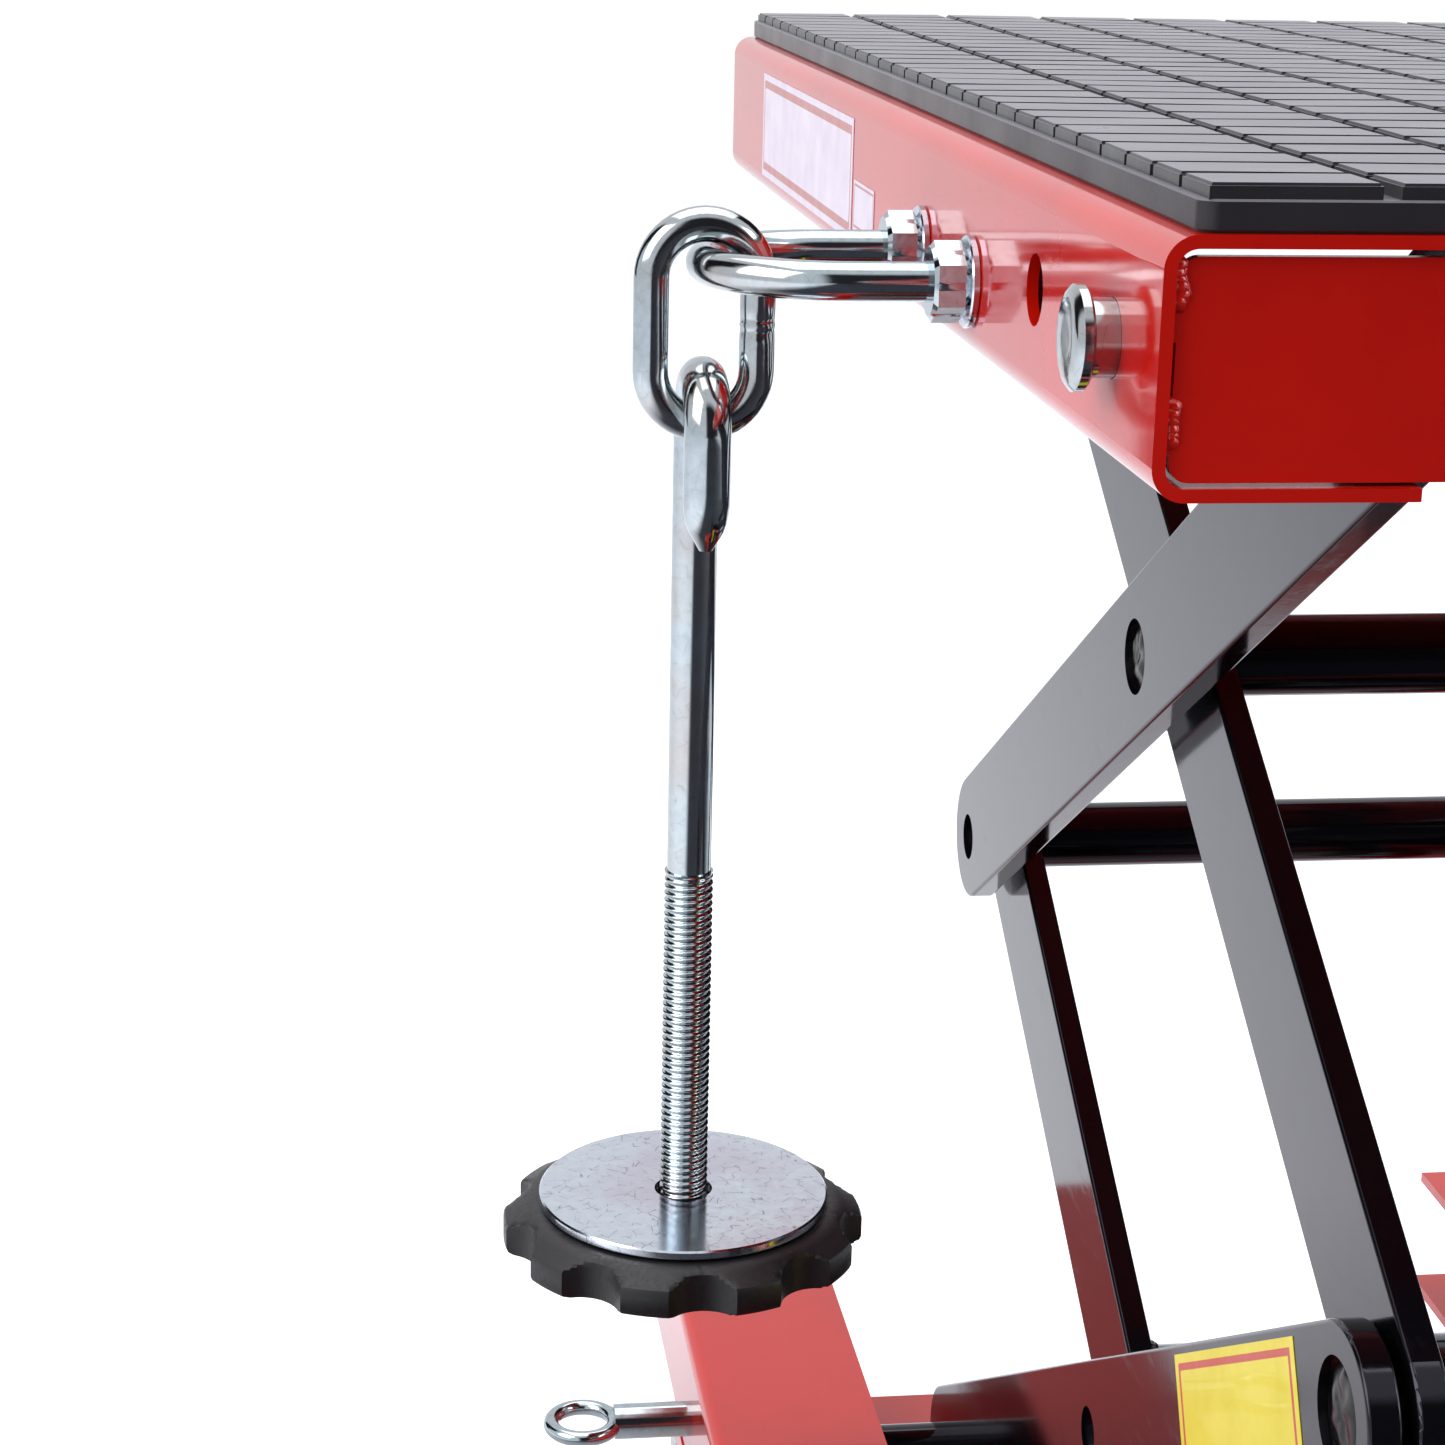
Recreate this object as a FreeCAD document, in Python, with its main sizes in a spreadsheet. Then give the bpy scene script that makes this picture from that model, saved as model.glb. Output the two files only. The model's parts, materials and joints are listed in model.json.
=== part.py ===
import FreeCAD, Part
import Sketcher
import math
import os
import re

# Two-stage scissor lift for motorcycles. X runs across the deck, Y along it, Z up.
# The origin is on the floor, at the centre of the whole lift.

Vector = FreeCAD.Vector
Rotation = FreeCAD.Rotation
doc = FreeCAD.newDocument("scissor_lift")
sheet = doc.addObject("Spreadsheet::Sheet", "Sizes")

SIZES = [
    # deck
    ("deck_length", 475, "deck along Y"),
    ("deck_width", 260, "deck across X"),
    ("deck_room", 2, "deck channel depth beyond an arm's width"),
    ("deck_gauge", 2, "deck sheet thickness"),
    ("deck_bend", 5, "outside radius of the deck folds"),
    ("deck_flange", 40, "width of the bottom flanges"),
    ("deck_offset", 101.25, "deck centre along Y from the origin"),
    ("plate_recess", 1.5, "end plate behind the rim"),
    ("plate_gap", 1.2, "open slit above the end plate"),
    ("plate_side_gap", 0.8, "open slits beside the end plate"),
    ("pad_thick", 7, "rubber pad"),
    ("pad_side_inset", 5, "bare deck beside the pad"),
    ("pad_end_inset", 1, "bare deck at the pad's ends"),
    ("spare_hole_inset", 78, "empty deck hole from the near end"),
    ("spare_hole_radius", 6, "empty deck hole"),
    # scissor
    ("arm_half", 178.7, "half an arm between its end pivots"),
    ("arm_width", 32, "flat bar width"),
    ("arm_thick", 6, "flat bar thickness"),
    ("arm_inset", 49, "deck wall to the outer arm's face"),
    ("arm_gap", 2.5, "space between outer and inner arm"),
    ("arm_edge", 0.8, "rounding of the flat bar's edges"),
    ("plug_depth", 2, "axle ends below the outer arms' faces"),
    ("plug_near", 10, "weld recess at the near joints"),
    ("plug_upper", 8, "weld recess at the upper crossing"),
    ("rest_angle", 30.42, "arm angle in degrees above level"),
    ("pivot_inset", 26.5, "near pivots from the deck's near end"),
    ("pivot_lift", 0.5, "deck pivot above the middle of the deck wall"),
    ("axle_radius", 6, "pivot axles"),
    ("sleeve_radius", 8.5, "tubes round the axles"),
    ("torsion_radius", 19, "cross tube of the lower crossing"),
    ("running_gap", 0.05, "radial clearance of a running fit"),
    ("side_gap", 0.4, "end clearance beside a moving piece"),
    ("clip_radius", 9, "retaining ring"),
    ("clip_thick", 1.6, "retaining ring thickness"),
    ("roller_width", 20, "rollers in deck and rails"),
    ("roller_gap", 0.3, "roller to flange clearance"),
    # base
    ("base_pivot_height", 70.4, "base pivots above the floor"),
    ("rail_height", 40, "base rail depth"),
    ("rail_width", 47, "base rail flange width"),
    ("rail_gauge", 3, "base rail thickness"),
    ("rail_bend", 4, "outside radius of the rail's folds"),
    ("rail_overhang", 20, "rail outside the deck wall"),
    ("rail_near", 52, "rail end before the near pivot"),
    ("rail_far", 432, "rail end beyond the near pivot"),
    ("bar_size", 30, "square cross bars"),
    ("bar_gauge", 3, "cross bar wall"),
    # tie-down set
    ("ubolt_inset", 152, "U-bolt centre from the near end"),
    ("ubolt_drop", 24, "U-bolt below the deck top"),
    ("ubolt_radius", 3.625, "U-bolt rod"),
    ("ubolt_bend", 24, "U-bolt bend, to the rod's middle"),
    ("ubolt_reach", 46, "U-bolt bend outside the deck wall"),
    ("ubolt_tail", 13, "U-bolt thread inside the deck wall"),
    ("nut_width", 13, "U-bolt nut across flats"),
    ("nut_height", 6.5, "U-bolt nut"),
    ("nut_washer_radius", 8.5, "U-bolt washer"),
    ("nut_washer_thick", 1.6, "U-bolt washer"),
    ("link_wire", 3.4, "chain link wire radius"),
    ("link_width", 27, "chain link outside"),
    ("link_length", 44.5, "chain link outside"),
    ("hang_gap", 0.4, "space between hanging pieces"),
    ("hook_wire", 4.5, "hook shank radius"),
    ("hook_bend", 9, "hook bend, to the rod's middle"),
    ("hook_tip", 22, "short leg of the hook"),
    ("hook_end_drop", 232, "hook end below the deck top"),
    ("thread_radius", 5, "hook thread"),
    ("thread_length", 85, "hook thread"),
    ("disc_drop", 217, "hook washer top below the deck top"),
    ("disc_radius", 30, "hook washer"),
    ("disc_thick", 2, "hook washer"),
    ("disc_hole", 6, "hook washer hole radius"),
    ("knob_radius", 37.5, "knob rim"),
    ("knob_rim", 9, "knob rim thickness"),
    ("knob_hub_radius", 14, "knob hub"),
    ("knob_hub_height", 9, "knob hub below the rim"),
    ("scallop_radius", 9.5, "finger scallops"),
    ("scallop_depth", 3, "finger scallops"),
    # deck pivot pin and rail lock pin
    ("pin_neck", 4, "pin between the deck wall and its head"),
    ("pin_head_radius", 8, "pin head"),
    ("pin_head_thick", 3, "pin head"),
    ("lock_inset", 355, "rail lock pin from the deck's near end"),
    ("lock_radius", 5, "lock pin"),
    ("lock_stem", 22, "lock pin outside the rail"),
    ("ring_radius", 9, "pull ring, to the wire's middle"),
    ("ring_wire", 2.2, "pull ring wire radius"),
    # hydraulics
    ("lever_root", 50, "lever tube from the near pivot along the arm"),
    ("lever_run", 90, "push pin from the near pivot along the arm"),
    ("lever_rise", 60, "push pin square to the arm"),
    ("lever_tube", 12.5, "lever tube radius"),
    ("lever_plate", 6, "lever plate thickness"),
    ("ram_run", 193.5, "ram foot from the near pivot"),
    ("ram_drop", 8.4, "ram foot below the near pivot"),
    ("ram_radius", 19, "ram barrel"),
    ("ram_bore", 15, "ram bore radius"),
    ("ram_eye", 11, "ram foot eye"),
    ("ram_length", 137, "ram foot to the barrel's mouth"),
    ("rod_radius", 9, "ram rod"),
    ("foot_pin_radius", 7, "pin through the ram's foot"),
    ("pedal_pin_radius", 4, "pin through the pedals"),
    ("piston_thick", 12, "ram piston"),
    ("piston_rest", 45, "piston face from the ram foot at rest"),
    ("fork_half", 9.6, "half width of the rod's open fork"),
    ("anchor_plate", 8, "plate under the rails that holds the ram"),
    ("anchor_width", 60, "plate under the rails along Y"),
    ("pump_width", 80, "pump block across X"),
    ("pump_depth", 56, "pump block along Y"),
    ("pump_height", 58, "pump block"),
    ("tank_radius", 27, "oil tank"),
    ("tank_length", 44, "oil tank"),
    ("plunger_radius", 7, "pump plunger"),
    ("plunger_nose", 5, "cross roller on the plunger"),
    ("plunger_arm", 22, "plunger from the pedal pivot"),
    ("pedal_length", 165, "pump pedal"),
    ("release_length", 110, "release pedal"),
    ("pipe_radius", 3, "pressure pipe"),
    # wheels and feet
    ("wheel_radius", 22, "fixed wheels"),
    ("wheel_width", 22, "fixed wheels"),
    ("wheel_axle", 5, "fixed wheel bolt radius"),
    ("wheel_head", 8, "fixed wheel bolt head radius"),
    ("wheel_gap", 1, "space between a wheel and its cheeks"),
    ("cheek_thick", 4, "cheeks that hold the fixed wheels"),
    ("cheek_half", 12, "half width of a wheel's cheek"),
    ("wheel_axle_back", 30, "fixed wheel axle before the rail's far end"),
    ("far_bar_back", 90, "far cross plate before the rail's far end"),
    ("caster_cheek", 2.5, "caster fork's cheek thickness"),
    ("caster_cheek_gap", 1.5, "space between a caster wheel and its cheeks"),
    ("caster_axle_radius", 4, "caster wheel axle"),
    ("caster_stem", 5, "caster swivel stem radius"),
    ("pedal_plate", 8, "pedal lever thickness"),
    ("pedal_hub", 8, "pedal hub radius"),
    ("tread_length", 44, "pedal tread"),
    ("tread_thick", 6, "pedal tread"),
    ("caster_radius", 25, "caster wheels"),
    ("caster_width", 18, "caster wheels"),
    ("caster_trail", 15, "caster axle behind its swivel"),
    ("caster_lift", 1, "caster wheels above the floor on the feet"),
    ("caster_out", 44, "swivel outside the rail"),
    ("outrigger_thick", 6, "plate that carries a caster"),
    ("outrigger_width", 60, "plate that carries a caster"),
    ("foot_radius", 20, "levelling foot"),
    ("foot_thick", 8, "levelling foot"),
    ("screw_radius", 6, "levelling screw"),
    ("screw_length", 104, "levelling screw"),
    ("foot_spread", 105, "levelling screws from the middle"),
]

DERIVED = {
    "side": "deck_width / 2",
    "deck_height": "arm_width + 2 * deck_gauge + deck_room",
    "pivot_drop": "deck_height / 2 - pivot_lift",
    "deck_near": "deck_offset - deck_length / 2",
    "deck_far": "deck_offset + deck_length / 2",
    "near_pivot": "deck_near + pivot_inset",
    "half_run": "arm_half * cos(rest_angle * 1 deg)",
    "half_rise": "arm_half * sin(rest_angle * 1 deg)",
    "mid_pivot": "near_pivot + half_run",
    "far_pivot": "near_pivot + 2 * half_run",
    "low_level": "base_pivot_height",
    "cross_low": "low_level + half_rise",
    "joint_level": "low_level + 2 * half_rise",
    "cross_high": "low_level + 3 * half_rise",
    "high_level": "low_level + 4 * half_rise",
    "deck_top": "high_level + pivot_drop",
    "deck_bottom": "deck_top - deck_height",
    "outer_face": "side - arm_inset",
    "outer_back": "outer_face - arm_thick",
    "inner_face": "outer_back - arm_gap",
    "inner_back": "inner_face - arm_thick",
    "plug_face": "outer_face - plug_depth",
    "rail_out": "side + rail_overhang",
    "rail_in": "rail_out - rail_width",
    "rail_web": "rail_out - rail_gauge",
    "rail_top": "low_level + rail_height / 2",
    "rail_bottom": "low_level - rail_height / 2",
    "rail_start": "near_pivot - rail_near",
    "rail_end": "near_pivot + rail_far",
    "bore_radius": "axle_radius + running_gap",
    "base_roller": "rail_height / 2 - rail_gauge - roller_gap",
    "deck_roller": "pivot_drop - deck_gauge - roller_gap",
    "ubolt_y": "deck_near + ubolt_inset",
    "ubolt_z": "deck_top - ubolt_drop",
    "ubolt_x": "side + ubolt_reach",
    "link_top": "ubolt_z + ubolt_radius + hang_gap + 2 * link_wire",
    "link_turn": "link_width / 2 - link_wire",
    "link_high": "link_top - link_width / 2",
    "link_low": "link_top - link_length + link_width / 2",
    "hook_top": "link_top - link_length + 2 * link_wire + hang_gap + 2 * hook_wire",
    "hook_turn": "hook_top - hook_wire - hook_bend",
    "shank_y": "ubolt_y + hook_bend",
    "hook_end": "deck_top - hook_end_drop",
    "disc_top": "deck_top - disc_drop",
    "knob_top": "disc_top - disc_thick - 0.3",
    "knob_under": "knob_top - knob_rim",
    "ram_y": "near_pivot + ram_run",
    "ram_z": "low_level - ram_drop",
    "pump_back": "rail_start",
    "pump_front": "pump_back - pump_depth",
    "pump_base": "low_level - pump_height / 2",
    "pump_top": "pump_base + pump_height",
    "pedal_y": "pump_back - 12",
    "pedal_z": "pump_top + 26",
    "plunger_y": "pedal_y - plunger_arm",
    "caster_x": "rail_out + caster_out",
    "caster_y": "rail_start + 32",
    "caster_axle": "caster_radius + caster_lift",
    "outrigger_z": "caster_axle + caster_radius + 19",
    "foot_y": "rail_start - screw_radius - 6",
    "wheel_y": "rail_end - wheel_axle_back",
    "wheel_mid": "(rail_in + rail_out) / 2",
    "wheel_in": "wheel_mid - wheel_width / 2",
    "wheel_out": "wheel_mid + wheel_width / 2",
    "cheek_in": "wheel_in - wheel_gap - cheek_thick",
    "cheek_out": "wheel_out + wheel_gap + cheek_thick",
}

for row, (alias, amount, note) in enumerate(SIZES, start=1):
    sheet.set(f"A{row}", note)
    sheet.set(f"B{row}", str(amount))
    sheet.setAlias(f"B{row}", alias)
doc.recompute()

ALIASES = {alias for alias, amount, note in SIZES}
SIDES = {"left": -1, "right": 1}
ALONG_X = Rotation(Vector(0, 1, 0), 90)
ALONG_Z = Rotation()
UPRIGHT = Rotation(Vector(1, 1, 1), 120)
nodes = []


def expand(text):
    """An expression in plain names, written out in the sheet's cells."""
    def swap(match):
        word = match.group(0)
        if word in DERIVED:
            return "(" + expand(DERIVED[word]) + ")"
        return "Sizes." + word if word in ALIASES else word
    return re.sub(r"[A-Za-z_][A-Za-z_0-9]*", swap, str(text))


def number(text):
    amount = sheet.evalExpression(expand(text))
    return float(getattr(amount, "Value", amount))


def bind(piece, prop, text):
    piece.setExpression(prop, expand(text))


def place(piece, x="0", y="0", z="0", turn=None):
    piece.Placement = FreeCAD.Placement(Vector(0, 0, 0), turn or ALONG_Z)
    for axis, text in zip("xyz", (x, y, z)):
        bind(piece, f"Placement.Base.{axis}", text)
    return piece


def node(piece, name):
    piece.Label = name
    nodes.append(piece)
    return piece


def box(low, high):
    """A block between two corners."""
    piece = doc.addObject("Part::Box", "block")
    for prop, start, end in zip(("Length", "Width", "Height"), low, high):
        bind(piece, prop, f"({end}) - ({start})")
    return place(piece, *low)


def side_box(side, inner, outer, low, high):
    """A block on one side, from inner to outer across X, low and high in (Y, Z)."""
    edges = (f"-({outer})", f"-({inner})") if side < 0 else (inner, outer)
    return box((edges[0], *low), (edges[1], *high))


def rod_x(start, end, radius, y, z):
    piece = doc.addObject("Part::Cylinder", "rod")
    bind(piece, "Radius", radius)
    bind(piece, "Height", f"({end}) - ({start})")
    return place(piece, start, y, z, ALONG_X)


def side_rod(side, inner, outer, radius, y, z):
    edges = (f"-({outer})", f"-({inner})") if side < 0 else (inner, outer)
    return rod_x(edges[0], edges[1], radius, y, z)


def rod_z(start, end, radius, x="0", y="0"):
    piece = doc.addObject("Part::Cylinder", "rod")
    bind(piece, "Radius", radius)
    bind(piece, "Height", f"({end}) - ({start})")
    return place(piece, x, y, start)


def bend(turn_radius, wire_radius, angle, x, y, z, turn):
    piece = doc.addObject("Part::Torus", "bend")
    bind(piece, "Radius1", turn_radius)
    bind(piece, "Radius2", wire_radius)
    piece.Angle3 = angle
    return place(piece, x, y, z, turn)


def fuse(*pieces):
    piece = doc.addObject("Part::MultiFuse", "welded")
    piece.Shapes = list(pieces)
    return piece


def cut(base, *tools):
    piece = doc.addObject("Part::Cut", "cut")
    piece.Base = base
    piece.Tool = tools[0] if len(tools) == 1 else fuse(*tools)
    return piece


def group(*pieces):
    """Separate like pieces that share one node."""
    piece = doc.addObject("Part::Compound", "set")
    piece.Links = list(pieces)
    return piece


def tube_x(start, end, radius, bore, y, z):
    return cut(rod_x(start, end, radius, y, z), rod_x(f"{start} - 1", f"{end} + 1", bore, y, z))


def new_body(plane):
    body = doc.addObject("PartDesign::Body", "body")
    sketch = body.newObject("Sketcher::SketchObject", "outline")
    origin = [item for item in body.Origin.OriginFeatures if item.Role == plane][0]
    sketch.AttachmentSupport = [(origin, "")]
    sketch.MapMode = "FlatFace"
    return body, sketch


def pad(body, sketch, length, reverse=False):
    feature = body.newObject("PartDesign::Pad", "pad")
    feature.Profile = sketch
    feature.Reversed = reverse
    bind(feature, "Length", length)
    return feature


def round_edges(body, base, radius, chosen):
    """Rounds the edges of base that chosen(edge, its middle, its direction) picks."""
    doc.recompute()
    names = []
    for i, edge in enumerate(base.Shape.Edges, start=1):
        middle = (edge.FirstParameter + edge.LastParameter) / 2
        if chosen(edge, edge.valueAt(middle), edge.tangentAt(middle)):
            names.append(f"Edge{i}")
    feature = body.newObject("PartDesign::Fillet", "rounding")
    feature.Base = (base, names)
    bind(feature, "Radius", radius)
    return feature


def fix_point(sketch, curve, end, x, y):
    """Hold a point of a curve at (x, y) from the sketch's origin."""
    for kind, text in (("DistanceX", x), ("DistanceY", y)):
        index = sketch.addConstraint(Sketcher.Constraint(kind, -1, 1, curve, end, number(text)))
        bind(sketch, f"Constraints[{index}]", text)


def polygon(sketch, points):
    corners = [Vector(number(x), number(y), 0) for x, y in points]
    lines = [sketch.addGeometry(Part.LineSegment(corners[i - 1], corners[i]))
             for i in range(len(corners))]
    for i, line in enumerate(lines):
        following = lines[(i + 1) % len(lines)]
        sketch.addConstraint(Sketcher.Constraint("Coincident", line, 2, following, 1))
        fix_point(sketch, line, 2, *points[i])


def circle(sketch, x, y, radius):
    centre = Vector(number(x), number(y), 0)
    ring = sketch.addGeometry(Part.Circle(centre, Vector(0, 0, 1), number(radius)))
    fix_point(sketch, ring, 3, x, y)
    index = sketch.addConstraint(Sketcher.Constraint("Radius", ring, number(radius)))
    bind(sketch, f"Constraints[{index}]", radius)


def slot(sketch, length, radius):
    """A round-ended bar outline from the origin along X."""
    reach, half = number(length), number(radius)
    quarter = math.pi / 2
    up = Vector(0, 0, 1)
    edges = [
        Part.LineSegment(Vector(0, -half, 0), Vector(reach, -half, 0)),
        Part.ArcOfCircle(Part.Circle(Vector(reach, 0, 0), up, half), -quarter, quarter),
        Part.LineSegment(Vector(reach, half, 0), Vector(0, half, 0)),
        Part.ArcOfCircle(Part.Circle(Vector(0, 0, 0), up, half), quarter, 3 * quarter),
    ]
    lines = [sketch.addGeometry(edge) for edge in edges]
    for i, line in enumerate(lines):
        following = lines[(i + 1) % 4]
        sketch.addConstraint(Sketcher.Constraint("Tangent", line, 2, following, 1))
    fix_point(sketch, lines[3], 3, "0", "0")
    fix_point(sketch, lines[1], 3, length, "0")
    index = sketch.addConstraint(Sketcher.Constraint("Radius", lines[3], half))
    bind(sketch, f"Constraints[{index}]", radius)


def bar(length, radius, thick, holes):
    """A round-ended flat bar with holes at (distance along it, radius)."""
    body, sketch = new_body("XY_Plane")
    slot(sketch, length, radius)
    for distance, hole in holes:
        circle(sketch, distance, "0", hole)
    plate = pad(body, sketch, thick)
    round_edges(body, plate, "arm_edge",
                lambda edge, point, along: not edge.isClosed() and abs(along.z) < 0.1)
    return body


def tilt(angle):
    """Turns a bar's length into the Y-Z plane, at an angle in degrees above +Y."""
    return Rotation(Vector(1, 0, 0), angle) * UPRIGHT


def arm(side, face, low, angle, holes):
    """One scissor arm: its outer face at face, its low pivot at low (Y, Z)."""
    piece = bar("2 * arm_half", "arm_width / 2", "arm_thick", holes)
    start = f"-({face})" if side < 0 else f"({face}) - arm_thick"
    return place(piece, start, low[0], low[1], tilt(angle))


def arm_point(run, rise):
    """A point fixed to the lower inner arm, in (Y, Z) at rest."""
    cosine, sine = "cos(rest_angle * 1 deg)", "sin(rest_angle * 1 deg)"
    return (f"near_pivot + {run} * {cosine} - {rise} * {sine}",
            f"low_level + {run} * {sine} + {rise} * {cosine}")


# Scissor arms. Holes run along each arm from its low end.
rest = number("rest_angle")
FITS = {"axle": "axle_radius", "turning": "bore_radius", "sleeve": "sleeve_radius",
        "torsion": "bore_radius"}
ARMS = {
    # name: (face, low pivot Y, low pivot Z, tilt, fits at the low end, middle and high end)
    "lower_inner": ("inner_face", "near_pivot", "low_level", rest, "sleeve", "torsion", "sleeve"),
    "lower_outer": ("outer_face", "far_pivot", "low_level", 180 - rest, "axle", "axle", "axle"),
    "upper_inner": ("inner_face", "near_pivot", "joint_level", rest, "turning", "sleeve", "axle"),
    "upper_outer": ("outer_face", "far_pivot", "joint_level", 180 - rest, "axle", "axle", "sleeve"),
}
PLUGS = {
    # arms with a weld recess round an axle's end: (recess radius, Y, Z)
    "lower_outer": ("plug_near", "near_pivot", "joint_level"),
    "upper_outer": ("plug_upper", "mid_pivot", "cross_high"),
}
for name, (face, low_y, low_z, angle, *fits) in ARMS.items():
    distances = ("0", "arm_half", "2 * arm_half")
    holes = [(distance, FITS[fit]) for distance, fit in zip(distances, fits)]
    for word, side in SIDES.items():
        piece = arm(side, face, (low_y, low_z), angle, holes)
        if name in PLUGS:
            recess = side_rod(side, "outer_face - plug_depth", "outer_face + 1", *PLUGS[name])
            piece = cut(piece, recess)
        node(piece, f"{word}_{name}_arm")


def both_sides(make):
    return [make(side) for side in SIDES.values()]


# Lower inner frame: the sleeves and tubes that join its two arms.
pivot_tube_end = "rail_web - side_gap"
node(group(
    tube_x(f"-({pivot_tube_end})", pivot_tube_end, "sleeve_radius", "bore_radius",
           "near_pivot", "low_level"),
    tube_x("-inner_face", "inner_face", "sleeve_radius", "bore_radius", "far_pivot", "joint_level"),
), "lower_inner_sleeves")
node(tube_x("-inner_back", "inner_back", "torsion_radius", "bore_radius", "mid_pivot", "cross_low"),
     "lower_torsion_tube")
lever_angle = number("atan2(lever_rise; lever_run - lever_root)")
lever_length = "sqrt(lever_rise * lever_rise + (lever_run - lever_root) * (lever_run - lever_root))"
root_y, root_z = arm_point("lever_root", "0")
push_y, push_z = arm_point("lever_run", "lever_rise")
lever_plates = []
for side in SIDES.values():
    plate = bar(lever_length, "lever_tube", "lever_plate", [("0", "lever_tube - 3")])
    start = "16" if side > 0 else "-16 - lever_plate"
    lever_plates.append(place(plate, start, root_y, root_z, tilt(rest + lever_angle)))
lever_tube = cut(rod_x("-inner_back", "inner_back", "lever_tube", root_y, root_z),
                 rod_x("-inner_face", "inner_face", "lever_tube - 3", root_y, root_z))
push_pin = rod_x("-24", "24", "axle_radius", push_y, push_z)
node(fuse(lever_tube, push_pin, *lever_plates), "ram_lever")


# Lower outer frame: the axle through the torsion tube, and stub pins at its ends.
def clipped_stub(side, inner, outer, y, z):
    """A stub pin that ends in a retaining ring at its inner end."""
    ring = side_rod(side, f"({inner}) - clip_thick", inner, "clip_radius", y, z)
    return fuse(side_rod(side, f"({inner}) - clip_thick - 1", outer, "axle_radius", y, z), ring)


def roller_stub(side, face, outer, y, z):
    """A stub pin from an arm's inner face out through a roller, with a ring outside it."""
    ring = side_rod(side, outer, f"({outer}) + clip_thick", "clip_radius", y, z)
    return fuse(side_rod(side, face, f"({outer}) + clip_thick", "axle_radius", y, z), ring)


base_roller_out = "rail_web - 10"
deck_roller_out = "side - deck_gauge - 5"
node(rod_x("-plug_face", "plug_face", "axle_radius", "mid_pivot", "cross_low"),
     "lower_centre_axle")
node(group(
    *both_sides(lambda side: clipped_stub(side, "inner_back - side_gap", "plug_face",
                                          "near_pivot", "joint_level")),
    *both_sides(lambda side: roller_stub(side, "outer_back", f"{base_roller_out} + side_gap",
                                         "far_pivot", "low_level")),
), "lower_outer_pins")


def roller(side, outer, radius, y, z):
    inner = f"({outer}) - roller_width"
    wheel = side_rod(side, inner, outer, radius, y, z)
    return cut(wheel, side_rod(side, f"{inner} - 1", f"{outer} + 1", "bore_radius", y, z))


node(group(*both_sides(lambda side: roller(side, base_roller_out, "base_roller",
                                           "far_pivot", "low_level"))), "base_rollers")

# Upper frames: axles fixed in the outer arms, sleeves fixed in the inner arms.
node(group(
    rod_x("-plug_face", "plug_face", "axle_radius", "mid_pivot", "cross_high"),
    rod_x("-plug_face", "plug_face", "axle_radius", "far_pivot", "joint_level"),
), "upper_outer_axles")
deck_sleeve_end = "side - deck_gauge - side_gap"
node(tube_x(f"-({deck_sleeve_end})", deck_sleeve_end, "sleeve_radius", "bore_radius",
            "near_pivot", "high_level"), "deck_pivot_sleeve")
node(tube_x("-inner_face", "inner_face", "sleeve_radius", "bore_radius",
            "mid_pivot", "cross_high"), "upper_centre_sleeve")
node(group(*both_sides(lambda side: roller_stub(side, "inner_back",
                                                f"{deck_roller_out} + side_gap",
                                                "far_pivot", "high_level"))), "deck_roller_pins")
node(group(*both_sides(lambda side: roller(side, deck_roller_out, "deck_roller",
                                           "far_pivot", "high_level"))), "deck_rollers")


# Deck
def folded_bar(half_width, low, high, start, length, corner):
    """A long box along Y whose four long edges are rounded."""
    body, sketch = new_body("XZ_Plane")
    wide = f"({half_width})"
    polygon(sketch, [(f"-{wide}", low), (wide, low), (wide, high), (f"-{wide}", high)])
    block = pad(body, sketch, length, reverse=True)
    round_edges(body, block, corner, lambda edge, point, along: abs(along.y) > 0.9)
    return place(body, "0", start, "0")


def wall_hole(radius, y, z):
    return rod_x("-side - 5", "side + 5", radius, y, z)


skin = folded_bar("side", "deck_bottom", "deck_top", "deck_near", "deck_length", "deck_bend")
hollow = folded_bar("side - deck_gauge", "deck_bottom + deck_gauge", "deck_top - deck_gauge",
                    "deck_near - 1", "deck_length + 2", "deck_bend - deck_gauge")
mouth = box(("deck_flange - side", "deck_near - 1", "deck_bottom - 1"),
            ("side - deck_flange", "deck_far + 1", "deck_bottom + deck_gauge + 1"))
leg_holes = [wall_hole("ubolt_radius + 0.4", f"ubolt_y {sign} ubolt_bend", "ubolt_z")
             for sign in "+-"]
node(cut(skin, hollow, mouth, *leg_holes,
         wall_hole("axle_radius + 0.1", "near_pivot", "high_level"),
         wall_hole("spare_hole_radius", "deck_near + spare_hole_inset", "high_level")),
     "deck_shell")


def end_plate(near_face):
    """A rounded plate inside the deck's rim, held at its ends by weld tabs."""
    plate_side = "side - deck_gauge - plate_side_gap"
    low, high = "deck_bottom + deck_gauge + 0.6", "deck_top - deck_gauge - plate_gap"
    plate = folded_bar(plate_side, low, high, near_face, "deck_gauge", "deck_bend - deck_gauge")
    tabs = [side_box(side, f"{plate_side} - 2", "side - deck_gauge",
                     (near_face, f"({low} + {high}) / 2 {start}"),
                     (f"{near_face} + deck_gauge", f"({low} + {high}) / 2 {end}"))
            for side in SIDES.values() for start, end in (("- 12", "- 4"), ("+ 4", "+ 12"))]
    return fuse(plate, *tabs)


node(group(end_plate("deck_near + plate_recess"),
           end_plate("deck_far - plate_recess - deck_gauge")), "deck_end_plates")
node(box(("pad_side_inset - side", "deck_near + pad_end_inset", "deck_top"),
         ("side - pad_side_inset", "deck_far - pad_end_inset", "deck_top + pad_thick")),
     "rubber_pad")
pin_left = "-side - pin_neck"
node(fuse(rod_x(pin_left, "side + pin_neck", "axle_radius", "near_pivot", "high_level"),
          rod_x(f"{pin_left} - pin_head_thick", pin_left, "pin_head_radius",
                "near_pivot", "high_level"),
          rod_x("side + 0.4", "side + 0.4 + clip_thick", "clip_radius",
                "near_pivot", "high_level")), "deck_pivot_pin")


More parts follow.
